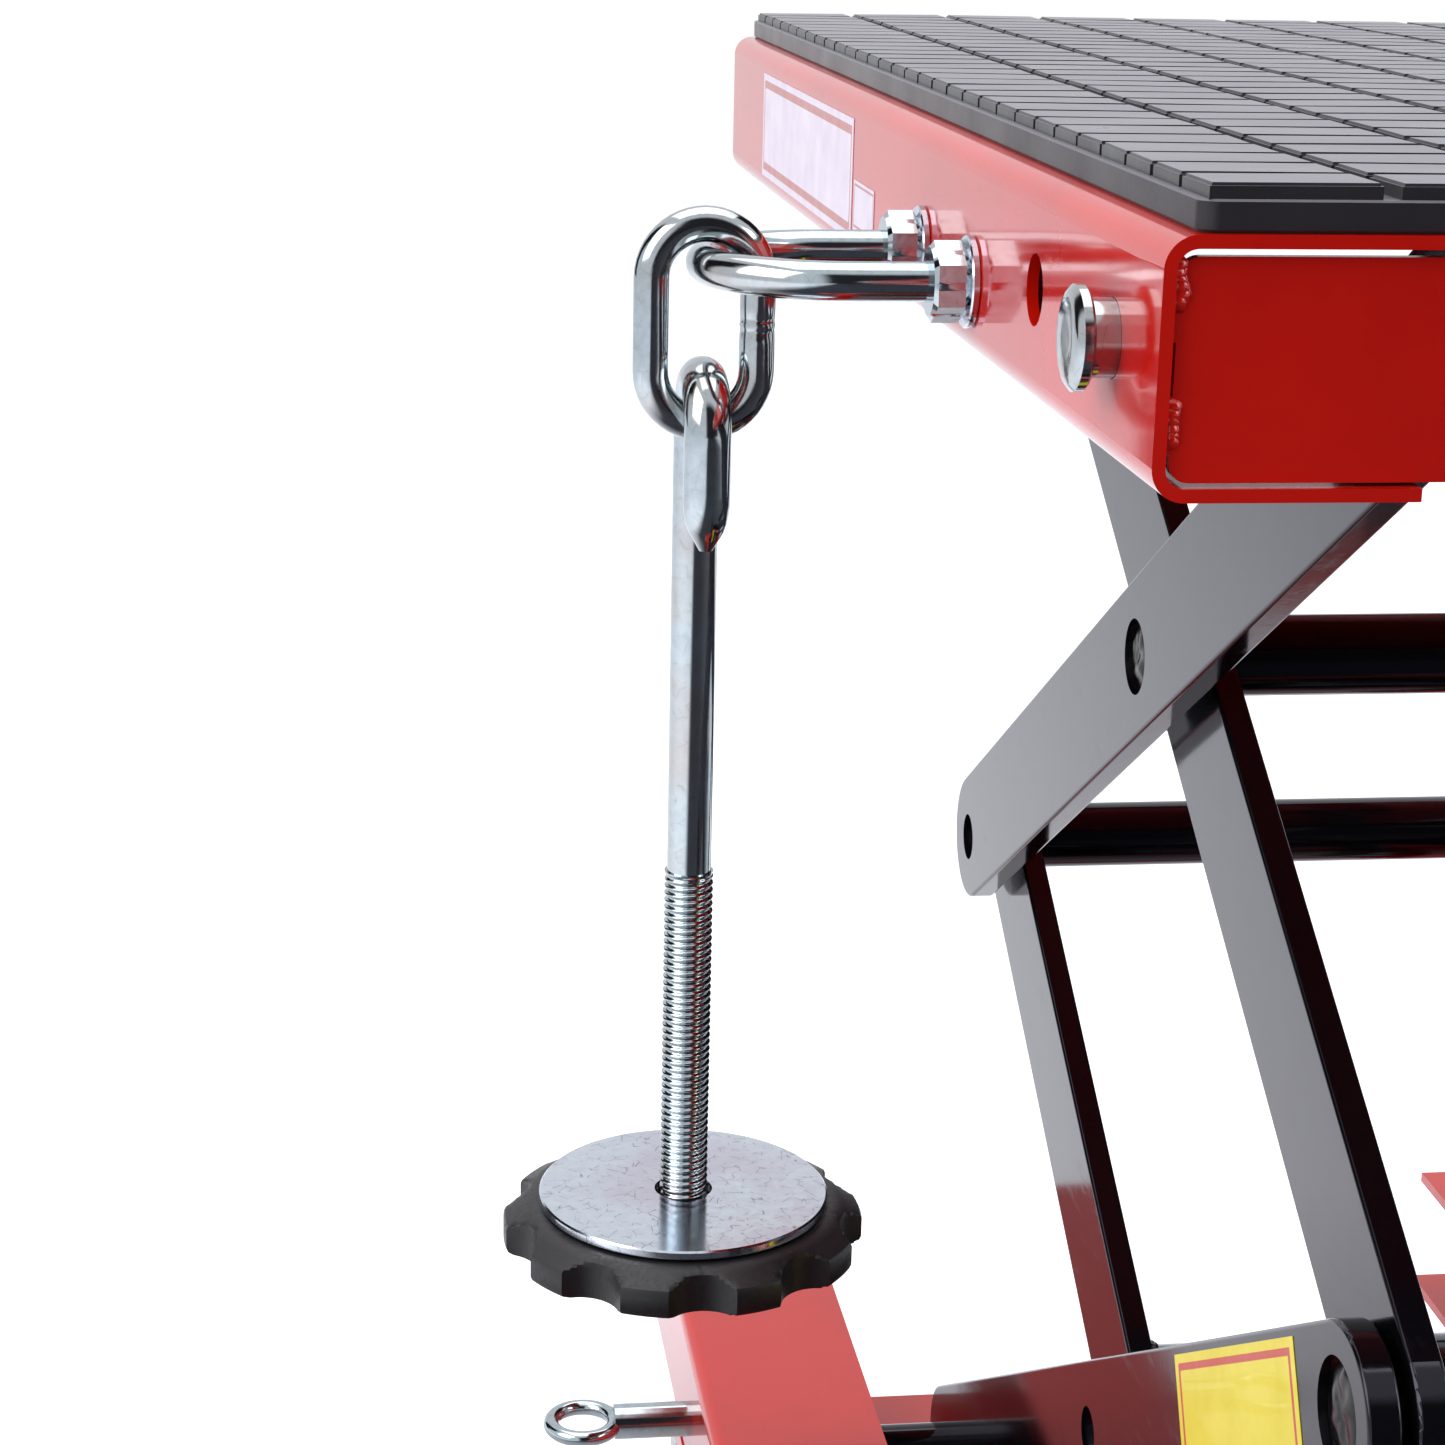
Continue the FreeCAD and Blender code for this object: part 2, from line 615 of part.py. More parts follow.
# Tie-down sets
def leg_rod(side, inner, outer, radius, sign):
    return side_rod(side, inner, outer, radius, f"ubolt_y {sign} ubolt_bend", "ubolt_z")


def ubolt(side):
    straight = "ubolt_x - ubolt_bend"
    legs = [leg_rod(side, "side - deck_gauge - ubolt_tail", straight, "ubolt_radius", sign)
            for sign in "+-"]
    centre = f"-({straight})" if side < 0 else straight
    turn = Rotation(Vector(0, 0, 1), -90 * side)
    return fuse(*legs, bend("ubolt_bend", "ubolt_radius", 180, centre, "ubolt_y", "ubolt_z", turn))


def leg_washers(side):
    for sign in "+-":
        for inner in ("side", "side - deck_gauge - nut_washer_thick"):
            outer = f"{inner} + nut_washer_thick"
            disc = leg_rod(side, inner, outer, "nut_washer_radius", sign)
            yield cut(disc, leg_rod(side, f"{inner} - 1", f"{outer} + 1", "ubolt_radius", sign))


def leg_nuts(side):
    """Hex nuts outside and inside the wall, on both legs."""
    outside = "side + nut_washer_thick"
    inside = "side - deck_gauge - nut_washer_thick - nut_height"
    for sign in "+-":
        for inner in (outside, inside):
            body, sketch = new_body("XY_Plane")
            corner = "nut_width / 2 / cos(30 * 1 deg)"
            polygon(sketch, [(f"{corner} * cos({60 * i} * 1 deg)",
                              f"{corner} * sin({60 * i} * 1 deg)") for i in range(6)])
            circle(sketch, "0", "0", "ubolt_radius")
            pad(body, sketch, "nut_height")
            start = inner if side > 0 else f"-({inner}) - nut_height"
            yield place(body, start, f"ubolt_y {sign} ubolt_bend", "ubolt_z", ALONG_X)


node(group(*both_sides(ubolt)), "u_bolts")
node(group(*[washer for side in SIDES.values() for washer in leg_washers(side)]), "u_bolt_washers")
node(group(*[nut for side in SIDES.values() for nut in leg_nuts(side)]), "u_bolt_nuts")


def chain_link(centre):
    """A stadium of round wire in the X-Z plane."""
    upper = Rotation(Vector(1, 0, 0), 90)
    lower = Rotation(Vector(1, 0, 0), -90)
    legs = [rod_z("link_low", "link_high", "link_wire", f"{centre} {sign} link_turn", "ubolt_y")
            for sign in "+-"]
    return fuse(*legs,
                bend("link_turn", "link_wire", 180, centre, "ubolt_y", "link_high", upper),
                bend("link_turn", "link_wire", 180, centre, "ubolt_y", "link_low", lower))


def hook(centre):
    """A J-hook: long threaded shank, bend in the Y-Z plane, short leg."""
    tip_y = "ubolt_y - hook_bend"
    return fuse(
        rod_z("hook_end + thread_length", "hook_turn", "hook_wire", centre, "shank_y"),
        rod_z("hook_end", "hook_end + thread_length", "thread_radius", centre, "shank_y"),
        bend("hook_bend", "hook_wire", 180, centre, "ubolt_y", "hook_turn", UPRIGHT),
        rod_z("hook_turn - hook_tip", "hook_turn", "hook_wire", centre, tip_y))


def knob(centre):
    """A scalloped rim on a hub, bored for the hook's thread."""
    reach = "(knob_radius - scallop_depth + scallop_radius)"
    scallops = [rod_z("knob_under - 1", "knob_top + 1", "scallop_radius",
                      f"{centre} + {reach} * sin({36 * i} * 1 deg)",
                      f"shank_y - {reach} * cos({36 * i} * 1 deg)") for i in range(10)]
    rim = cut(rod_z("knob_under", "knob_top", "knob_radius", centre, "shank_y"), *scallops)
    hub = rod_z("knob_under - knob_hub_height", "knob_top - 1", "knob_hub_radius",
                centre, "shank_y")
    bore = rod_z("knob_under - knob_hub_height - 1", "knob_top + 1",
                 "thread_radius + running_gap", centre, "shank_y")
    return cut(fuse(rim, hub), bore)


for word, side in SIDES.items():
    centre = "-(ubolt_x)" if side < 0 else "(ubolt_x)"
    node(chain_link(centre), f"{word}_chain_link")
    node(hook(centre), f"{word}_hook")
    node(cut(rod_z("disc_top - disc_thick", "disc_top", "disc_radius", centre, "shank_y"),
             rod_z("disc_top - disc_thick - 1", "disc_top + 1", "disc_hole", centre, "shank_y")),
         f"{word}_hook_washer")
    node(knob(centre), f"{word}_knob")


# Base
def rail(side):
    """A channel along Y, open inwards."""
    body, sketch = new_body("XZ_Plane")
    sign = "-" if side < 0 else ""
    outline = [("rail_out", "rail_bottom"), ("rail_out", "rail_top"),
               ("rail_in", "rail_top"), ("rail_in", "rail_top - rail_gauge"),
               ("rail_web", "rail_top - rail_gauge"), ("rail_web", "rail_bottom + rail_gauge"),
               ("rail_in", "rail_bottom + rail_gauge"), ("rail_in", "rail_bottom")]
    polygon(sketch, [(f"{sign}({x})", z) for x, z in outline])
    channel = pad(body, sketch, "rail_end - rail_start", reverse=True)
    for face, radius in (("rail_out", "rail_bend"), ("rail_web", "rail_bend - rail_gauge")):
        channel = round_edges(body, channel, radius, lambda edge, point, along:
                              abs(along.y) > 0.9 and abs(abs(point.x) - number(face)) < 0.1)
    place(body, "0", "rail_start", "0")
    lock_y = "deck_near + lock_inset"
    return cut(body,
               side_rod(side, "rail_web - 1", "rail_out + 1", "axle_radius", "near_pivot", "low_level"),
               side_rod(side, "rail_web - 1", "rail_out + 1", "lock_radius + running_gap",
                        lock_y, "low_level"))


for word, side in SIDES.items():
    node(rail(side), f"{word}_rail")


def cross_bar(start):
    """A square tube between the rails' webs."""
    end = f"{start} + bar_size"
    low, high = "low_level - bar_size / 2", "low_level + bar_size / 2"
    solid = box(("-rail_web", start, low), ("rail_web", end, high))
    inside = box(("-rail_out", f"{start} + bar_gauge", f"{low} + bar_gauge"),
                 ("rail_out", f"{end} - bar_gauge", f"{high} - bar_gauge"))
    return cut(solid, inside)


screw_bosses = []
for side in SIDES.values():
    boss_x = f"{side} * foot_spread"
    boss_z = "low_level - bar_size / 2"
    boss = fuse(rod_z(boss_z, "low_level + bar_size / 2", "screw_radius + 5", boss_x, "foot_y"),
                box((f"{boss_x} - screw_radius - 5", "foot_y", boss_z),
                    (f"{boss_x} + screw_radius + 5", "rail_start + 1", "low_level + bar_size / 2")))
    screw_bosses.append(cut(boss, rod_z("low_level - 40", "low_level + 40",
                                        "screw_radius + running_gap", boss_x, "foot_y")))
near_bar = fuse(cross_bar("rail_start"), *screw_bosses)
far_bar = box(("-rail_out", "rail_end - far_bar_back", "rail_bottom - anchor_plate"),
              ("rail_out", "rail_end - far_bar_back + bar_size", "rail_bottom"))
node(group(near_bar, far_bar), "base_cross_bars")

node(group(rod_x("-rail_out", "rail_out", "axle_radius", "near_pivot", "low_level"),
           rod_x("-38", "38", "foot_pin_radius", "ram_y", "ram_z"),
           rod_x("-54", "36", "pedal_pin_radius", "pedal_y", "pedal_z")), "base_pins")


def ear(side, inner, thick, y, z, foot, radius, hole):
    """An upright plate with a round top and a hole, from foot up to the pivot."""
    outer = f"{inner} + {thick}"
    return cut(fuse(side_rod(side, inner, outer, radius, y, z),
                    side_box(side, inner, outer, (f"{y} - {radius}", foot), (f"{y} + {radius}", z))),
               side_rod(side, f"{inner} - 1", f"{outer} + 1", hole, y, z))


ears = [ear(side, "26", "8", "ram_y", "ram_z", "rail_bottom - 0.5", "13", "foot_pin_radius")
        for side in SIDES.values()]
anchor = box(("-rail_out", "ram_y - anchor_width / 2", "rail_bottom - anchor_plate"),
             ("rail_out", "ram_y + anchor_width / 2", "rail_bottom"))
node(fuse(anchor, *ears), "ram_anchor")


# Casters at the near end
def outrigger(side):
    plate = side_box(side, "rail_out", "caster_x + 24",
                     ("caster_y - outrigger_width / 2", "outrigger_z"),
                     ("caster_y + outrigger_width / 2", "outrigger_z + outrigger_thick"))
    stem = rod_z("outrigger_z - 1", "outrigger_z + outrigger_thick + 1", "caster_stem + running_gap",
                 f"{side} * (caster_x)", "caster_y")
    return cut(plate, stem)


node(group(*both_sides(outrigger)), "caster_outriggers")


def caster_fork(side):
    """A swivel head over two cheeks that trail to the wheel's axle."""
    centre = f"{side} * (caster_x)"
    axle_y = "caster_y + caster_trail"
    inner = "(caster_width / 2 + caster_cheek_gap)"
    outer = f"({inner} + caster_cheek)"
    head = box((f"{centre} - {outer} - 2", "caster_y - 14", "outrigger_z - 4"),
               (f"{centre} + {outer} + 2", f"{axle_y} + 6", "outrigger_z - 1"))
    stem = rod_z("outrigger_z - 4", "outrigger_z + outrigger_thick + 0.5", "caster_stem",
                 centre, "caster_y")
    collar = rod_z("outrigger_z - 2", "outrigger_z - 0.3", "12", centre, "caster_y")
    cap = rod_z("outrigger_z + outrigger_thick + 0.5", "outrigger_z + outrigger_thick + 5",
                "caster_stem + 3", centre, "caster_y")
    cheeks = [box((f"{centre} {start}", f"{axle_y} - 9", "caster_axle - 9"),
                  (f"{centre} {end}", f"{axle_y} + 9", "outrigger_z - 1"))
              for start, end in ((f"- {outer}", f"- {inner}"), (f"+ {inner}", f"+ {outer}"))]
    axle = rod_x(f"{centre} - {outer} - 1.5", f"{centre} + {outer} + 1.5", "caster_axle_radius",
                 axle_y, "caster_axle")
    return fuse(head, stem, collar, cap, axle, *cheeks)


def wheel(low, high, radius, hub, y, z):
    return cut(rod_x(low, high, radius, y, z), rod_x(f"{low} - 1", f"{high} + 1", hub, y, z))


for word, side in SIDES.items():
    centre = f"{side} * (caster_x)"
    node(caster_fork(side), f"{word}_caster_fork")
    node(wheel(f"{centre} - caster_width / 2", f"{centre} + caster_width / 2", "caster_radius",
               "caster_axle_radius + running_gap", "caster_y + caster_trail", "caster_axle"),
         f"{word}_caster_wheel")


# Fixed wheels under the far end of the rails
def wheel_bracket(side):
    """Two cheeks under the rail, one each side of the wheel."""
    cheeks = [side_box(side, inner, outer, ("wheel_y - cheek_half", "wheel_radius - cheek_half"),
                       ("wheel_y + cheek_half", "rail_bottom"))
              for inner, outer in (("cheek_in", "cheek_in + cheek_thick"),
                                   ("cheek_out - cheek_thick", "cheek_out"))]
    return cut(group(*cheeks), side_rod(side, "cheek_in - 1", "cheek_out + 1", "wheel_axle",
                                        "wheel_y", "wheel_radius"))


def wheel_bolt(side):
    shaft = side_rod(side, "cheek_in - 3", "cheek_out + 3", "wheel_axle",
                     "wheel_y", "wheel_radius")
    heads = [side_rod(side, inner, outer, "wheel_head", "wheel_y", "wheel_radius")
             for inner, outer in (("cheek_in - 4", "cheek_in"), ("cheek_out", "cheek_out + 4"))]
    return fuse(shaft, *heads)


def fixed_wheel(side):
    tyre = side_rod(side, "wheel_in", "wheel_out", "wheel_radius", "wheel_y", "wheel_radius")
    return cut(tyre, side_rod(side, "wheel_in - 1", "wheel_out + 1",
                              "wheel_axle + running_gap", "wheel_y", "wheel_radius"))


node(group(*both_sides(wheel_bracket)), "wheel_brackets")
node(group(*both_sides(wheel_bolt)), "wheel_bolts")
node(group(*both_sides(fixed_wheel)), "fixed_wheels")

# Levelling feet at the near end
for word, side in SIDES.items():
    x = f"{side} * foot_spread"
    node(rod_z("0", "foot_thick", "foot_radius", x, "foot_y"), f"{word}_foot")
    shaft = rod_z("foot_thick + 0.3", "foot_thick + screw_length", "screw_radius", x, "foot_y")
    handle = rod_x(f"{x} - 26", f"{x} + 26", "4", "foot_y", "foot_thick + screw_length - 6")
    node(fuse(shaft, handle), f"{word}_foot_screw")

# Ram
rest_y, rest_z = number(push_y) - number("ram_y"), number(push_z) - number("ram_z")
ram_angle = math.degrees(math.atan2(rest_z, rest_y))
ram_reach = math.hypot(rest_y, rest_z)
ram_turn = Rotation(Vector(1, 0, 0), ram_angle - 90)
barrel = cut(fuse(rod_x("-20", "20", "ram_eye", "0", "0"),
                  rod_z("0", "20", "ram_eye - 0.5"),
                  rod_z("18", "ram_length", "ram_radius")),
             rod_x("-23", "23", "foot_pin_radius + running_gap", "0", "0"),
             rod_z("24", "ram_length - 12", "ram_bore"),
             rod_z("ram_length - 13", "ram_length + 1", "rod_radius + running_gap"))
node(place(barrel, "0", "ram_y", "ram_z", ram_turn), "ram_barrel")
fork = cut(box(("-12", "-16", f"{ram_reach} - 22"), ("12", "16", f"{ram_reach} + 8")),
           box(("-13", "-fork_half", f"{ram_reach} - fork_half"),
               ("13", "fork_half", f"{ram_reach} + 9")))
ram_rod = fuse(rod_z("piston_rest + 1", f"{ram_reach} - 21", "rod_radius"),
               rod_z("piston_rest", "piston_rest + piston_thick", "ram_bore - 0.1"), fork)
node(place(ram_rod, "0", "ram_y", "ram_z", ram_turn), "ram_rod")

# Pump, pedals and pipe
block = box(("-pump_width / 2", "pump_front", "pump_base"),
            ("pump_width / 2", "pump_back", "pump_top"))
tank = rod_x("-pump_width / 2 - tank_length", "-pump_width / 2 + 1", "tank_radius",
             "(pump_front + pump_back) / 2", "low_level")
pump_ears = [ear(side, "27", "6", "pedal_y", "pedal_z", "pump_top - 1", "8", "pedal_pin_radius")
             for side in SIDES.values()]
plunger_bore = rod_z("pump_top - 36", "pump_top + 1", "plunger_radius + running_gap",
                     "0", "plunger_y")
node(cut(fuse(block, tank, *pump_ears), plunger_bore), "pump_block")
pedal_under = "pedal_z + 2 - pedal_plate"
nose_z = f"{pedal_under} - plunger_nose - 0.3"
node(fuse(rod_z("pump_top - 20", nose_z, "plunger_radius - 3", "0", "plunger_y"),
          rod_z("pump_top - 20", "pump_top - 8", "plunger_radius", "0", "plunger_y"),
          rod_x("-8", "8", "plunger_nose", "plunger_y", nose_z)), "pump_plunger")


def pedal(x0, x1, length, tread):
    """A flat lever on the pedal pin, with a tread at its outer end."""
    middle = f"({x0} + {x1}) / 2"
    top = "pedal_z + 2"
    hub = rod_x(x0, x1, "pedal_hub", "pedal_y", "pedal_z")
    lever = box((x0, f"pedal_y - {length}", f"{top} - pedal_plate"), (x1, "pedal_y", top))
    plate = box((f"{middle} - {tread}", f"pedal_y - {length}", top),
                (f"{middle} + {tread}", f"pedal_y - {length} + tread_length",
                 f"{top} + tread_thick"))
    return cut(fuse(hub, lever, plate),
               rod_x(f"{x0} - 1", f"{x1} + 1", "pedal_pin_radius + running_gap",
                     "pedal_y", "pedal_z"))


node(pedal("-14", "14", "pedal_length", "32"), "pump_pedal")
node(pedal("-50", "-36", "release_length", "12"), "release_pedal")
pipe_x, pipe_y, pipe_z = "pump_width / 2 + 14", "pump_back - 20", "pump_base + 7"
pipe_path = [("pump_width / 2", pipe_y, pipe_z),
             (pipe_x, pipe_y, pipe_z),
             (pipe_x, "ram_y - 60", pipe_z),
             (pipe_x, "ram_y - 40", "ram_z"),
             (pipe_x, "ram_y", "ram_z"),
             ("38", "ram_y", "ram_z")]


def pressure_pipe():
    """Straight runs of pipe joined by round elbows."""
    points = [Vector(*(number(text) for text in point)) for point in pipe_path]
    radius = number("pipe_radius")
    pieces = [Part.makeCylinder(radius, (b - a).Length, a, b - a)
              for a, b in zip(points, points[1:])]
    pieces += [Part.makeSphere(radius, point) for point in points[1:-1]]
    feature = doc.addObject("Part::Feature", "pipe")
    feature.Shape = pieces[0].multiFuse(pieces[1:])
    return feature


node(pressure_pipe(), "pressure_pipe")


# Rail lock pins
for word, side in SIDES.items():
    lock_y = "deck_near + lock_inset"
    stem = side_rod(side, "rail_out - rail_gauge", "rail_out + lock_stem", "lock_radius",
                    lock_y, "low_level")
    ring_x = f"{side} * (rail_out + lock_stem + ring_radius)"
    ring = bend("ring_radius", "ring_wire", 360, ring_x, lock_y, "low_level", ALONG_Z)
    node(fuse(stem, ring), f"{word}_lock_pin")

doc.recompute()
bad = [item.Label for item in doc.Objects if {"Invalid", "Error"} & set(item.State)]
bad += [item.Label for item in nodes if item.Shape.isNull() or not item.Shape.isValid()]
if bad:
    raise SystemExit("failed pieces: " + ", ".join(bad))
os.makedirs("parts", exist_ok=True)
for item in nodes:
    item.Shape.exportStep(f"parts/{item.Label}.step")
total = sum(item.Shape.Volume for item in nodes)
print(len(nodes), "nodes", round(total), "mm3")
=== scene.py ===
import json
import math

import bmesh
import bpy
from mathutils import Matrix, Vector, noise


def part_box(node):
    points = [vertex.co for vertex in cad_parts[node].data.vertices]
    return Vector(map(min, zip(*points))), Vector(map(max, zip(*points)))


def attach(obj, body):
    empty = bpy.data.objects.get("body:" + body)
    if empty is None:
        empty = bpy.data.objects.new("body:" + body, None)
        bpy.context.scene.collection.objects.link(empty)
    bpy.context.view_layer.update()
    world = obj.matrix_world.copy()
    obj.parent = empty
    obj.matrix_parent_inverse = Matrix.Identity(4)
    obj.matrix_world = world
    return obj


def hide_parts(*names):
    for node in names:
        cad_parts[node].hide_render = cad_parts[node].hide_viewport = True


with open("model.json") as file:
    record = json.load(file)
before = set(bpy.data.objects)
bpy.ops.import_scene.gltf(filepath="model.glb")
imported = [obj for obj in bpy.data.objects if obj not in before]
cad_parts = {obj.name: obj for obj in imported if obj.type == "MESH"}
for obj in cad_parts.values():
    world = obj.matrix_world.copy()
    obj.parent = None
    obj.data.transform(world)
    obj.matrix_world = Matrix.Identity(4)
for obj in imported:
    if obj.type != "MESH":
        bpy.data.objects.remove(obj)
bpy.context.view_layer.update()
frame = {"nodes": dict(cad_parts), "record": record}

# Looks of a two-stage scissor lift with tie-down hooks. Sizes are in metres, in the model's frame.
MM = 0.001
UP = Vector((0, 0, 1))
ACROSS = Vector((1, 0, 0))
ALONG = Vector((0, 1, 0))
SIDES = {"left": -1, "right": 1}
SEED = 7


def centre_of(node):
    low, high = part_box(node)
    return (low + high) / 2


def size_of(node):
    low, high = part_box(node)
    return high - low


# Places that the pieces share, read from the model, and the sheet gauge of the deck.
DECK_LOW, DECK_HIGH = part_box("deck_shell")
HALF_DECK = DECK_HIGH.x
DECK_GAUGE = 2 * MM
HIGH_PIVOT = centre_of("deck_pivot_pin")
UPPER_CROSS = centre_of("upper_centre_sleeve")
LOWER_CROSS = centre_of("lower_torsion_tube")
BASE_ROLLER = centre_of("base_rollers")
JOINT_LEVEL = (UPPER_CROSS.z + LOWER_CROSS.z) / 2
NEAR_Y = HIGH_PIVOT.y
FAR_Y = BASE_ROLLER.y
OUTER_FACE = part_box("right_upper_outer_arm")[1].x


# ---------------------------------------------------------------- materials

def linear(code):
    """An sRGB hex colour as linear red, green, blue and alpha."""
    parts = [int(code[i:i + 2], 16) / 255 for i in (1, 3, 5)]
    return [p / 12.92 if p < 0.04045 else ((p + 0.055) / 1.055) ** 2.4 for p in parts] + [1]


def add(tree, kind, inputs=None, **settings):
    """Adds a node with its settings, and fills or links its inputs."""
    node = tree.nodes.new(kind)
    for name, value in settings.items():
        setattr(node, name, value)
    for name, value in (inputs or {}).items():
        if isinstance(value, bpy.types.NodeSocket):
            tree.links.new(value, node.inputs[name])
        else:
            node.inputs[name].default_value = value
    return node


def new_material(name, shader):
    """A material with one Principled shader whose plain values are set on its sockets."""
    material = bpy.data.materials.new(name)
    material.use_nodes = True
    tree = material.node_tree
    body = tree.nodes["Principled BSDF"]
    for socket, value in shader.items():
        body.inputs[socket].default_value = value
    place = add(tree, "ShaderNodeTexCoord").outputs["Object"]
    return material, tree, body, place


def grain(tree, place, size, detail=3, rough=0.55, warp=0.0):
    """Cloudy noise whose features are size metres across."""
    return add(tree, "ShaderNodeTexNoise", {
        "Vector": place, "Scale": 1 / size, "Detail": detail, "Roughness": rough,
        "Distortion": warp}).outputs["Fac"]


def remap(tree, value, low, high, to_low, to_high):
    """Maps a range of values onto another, and holds it at its ends."""
    return add(tree, "ShaderNodeMapRange", {
        "Value": value, "From Min": low, "From Max": high,
        "To Min": to_low, "To Max": to_high}).outputs["Result"]


def blend_colours(tree, share, first, second):
    """Mixes two colours, each a hex code or a socket."""
    mix = add(tree, "ShaderNodeMix", data_type="RGBA")
    tree.links.new(share, mix.inputs[0])
    for socket, colour in ((mix.inputs[6], first), (mix.inputs[7], second)):
        if isinstance(colour, str):
            socket.default_value = linear(colour)
        else:
            tree.links.new(colour, socket)
    return mix.outputs[2]


def bump(tree, height, distance, strength=1.0, under=None):
    """A normal that raises the surface by height times distance, over an earlier normal."""
    inputs = {"Height": height, "Distance": distance, "Strength": strength}
    if under is not None:
        inputs["Normal"] = under
    return add(tree, "ShaderNodeBump", inputs).outputs["Normal"]


def wire(tree, body, colour=None, roughness=None, normal=None):
    """Links patterns to the shader's colour, roughness and normal."""
    for socket, value in (("Base Color", colour), ("Roughness", roughness), ("Normal", normal)):
        if value is not None:
            tree.links.new(value, body.inputs[socket])


def stretched(tree, place, x, y, z):
    """Object coordinates scaled along each axis, for marks that run one way."""
    return add(tree, "ShaderNodeMapping", {"Vector": place, "Scale": (x, y, z)}).outputs["Vector"]


def stove_enamel(name, colour, shade, dust, roughness, coat, shine=0.5, tint="#ffffff"):
    """Sprayed and baked enamel: glossy, with soft orange peel and a few dull scuffs."""
    material, tree, body, place = new_material(name, {
        "IOR": 1.5, "Coat Weight": coat, "Coat Roughness": 0.04, "Specular IOR Level": shine,
        "Specular Tint": linear(tint)})
    cloud = grain(tree, place, 60 * MM, detail=4)
    tone = blend_colours(tree, remap(tree, cloud, 0.35, 0.7, 0, 1), colour, shade)
    scuffs = grain(tree, stretched(tree, place, 1, 0.25, 1), 5 * MM, detail=6, rough=0.7)
    worn = remap(tree, scuffs, 0.7, 0.8, 0, 0.45)
    wire(tree, body, blend_colours(tree, worn, tone, dust),
         remap(tree, scuffs, 0.55, 0.8, roughness, roughness + 0.14),
         bump(tree, grain(tree, place, 14 * MM, detail=2), 0.1 * MM, 0.22,
              bump(tree, grain(tree, place, 1.6 * MM, detail=1), 0.015 * MM, 0.3)))
    return material


# Red stove enamel: a deep, wet red whose walls pick up pale streaks at a low angle.
red_enamel = stove_enamel("red_stove_enamel", "#c81608", "#b41006", "#b8443a", 0.1, 0.3)
# Black stove enamel: almost mirror-like flat bars with a faint brown scuff here and there.
black_enamel = stove_enamel("black_stove_enamel", "#08070a", "#0d0c0f", "#2b2728", 0.1, 0.02,
                            0.5, "#dad6ec")
# Black enamel pooled over weld metal: darker and softer than on the flat bars.
pooled_enamel = stove_enamel("pooled_black_enamel", "#050506", "#09080a", "#1c1a1b", 0.22, 0, 0.2)


def bright_zinc(name, tones, roughness, spangle_depth, scratches):
    """Bright zinc plating: bluish white, with a faint spangle and handling scratches."""
    material, tree, body, place = new_material(name, {"Metallic": 1.0})
    spangle = grain(tree, place, 2.6 * MM, detail=5, rough=0.6, warp=0.6)
    cloud = grain(tree, place, 24 * MM, detail=3)
    tone = blend_colours(tree, remap(tree, spangle, 0.35, 0.7, 0, 1), tones[0], tones[1])
    tone = blend_colours(tree, remap(tree, cloud, 0.48, 0.72, 0, 0.6), tone, tones[2])
    cells = add(tree, "ShaderNodeTexVoronoi", {
        "Vector": place, "Scale": 1 / (3.4 * MM), "Randomness": 1.0}, feature="DISTANCE_TO_EDGE")
    lines = remap(tree, cells.outputs["Distance"], 0.0, 0.03, scratches, 0)
    broken = add(tree, "ShaderNodeMath", {0: lines, 1: remap(tree, spangle, 0.48, 0.56, 0, 1)},
                 operation="MULTIPLY").outputs[0]
    height = add(tree, "ShaderNodeMath", {0: spangle, 1: broken}, operation="SUBTRACT").outputs[0]
    wire(tree, body, blend_colours(tree, broken, tone, "#7d7478"),
         remap(tree, spangle, 0.35, 0.75, roughness, roughness + 0.06),
         bump(tree, height, spangle_depth, 0.3))
    return material


# Bright zinc on bent rod: polished by drawing, so it mirrors its surroundings.
rod_zinc = bright_zinc("bright_zinc_rod", ("#bcc8cd", "#aeb9be", "#b3aaa4"), 0.09, 0.02 * MM, 0.3)
# Bright zinc on pressed sheet: a bluish mirror with purple bloom and hairline scratches.
sheet_zinc = bright_zinc("bright_zinc_sheet", ("#d6dde4", "#cbd1dc", "#c4b6c6"), 0.12,
                         0.012 * MM, 0.85)
# Turned bare steel: rollers and ram rod, duller than the plated pieces.
turned_steel = bright_zinc("turned_steel", ("#b9bbbc", "#a3a4a4", "#9d9a94"), 0.24, 0.03 * MM, 0.4)


def moulded(name, colour, shade, grit, roughness, depth):
    """Moulded plastic or rubber with a fine matt grain."""
    material, tree, body, place = new_material(name, {"IOR": 1.5})
    fine = grain(tree, place, grit, detail=4)
    cloud = grain(tree, place, 35 * MM, detail=3)
    wire(tree, body, blend_colours(tree, remap(tree, cloud, 0.3, 0.7, 0, 1), colour, shade),
         remap(tree, fine, 0.35, 0.7, roughness - 0.07, roughness + 0.1),
         bump(tree, fine, depth, 0.5))
    return material


# Moulded black nylon of the hand knobs: matt with a spark-eroded grain.
knob_nylon = moulded("moulded_black_nylon", "#151316", "#1f1c20", 0.8 * MM, 0.42, 0.06 * MM)
# Moulded black rubber of the levelling feet.
foot_rubber = moulded("moulded_foot_rubber", "#1a191b", "#232124", 1.2 * MM, 0.62, 0.1 * MM)
# Cast polyurethane tyres: dark grey and dull, with paler patches at random.
wheel_tyre = moulded("cast_wheel_tyre", "#222124", "#343236", 2 * MM, 0.5, 0.1 * MM)
# Moulded grey wheel centres.
wheel_centre = moulded("moulded_wheel_centre", "#8a8986", "#767572", 1 * MM, 0.45, 0.05 * MM)


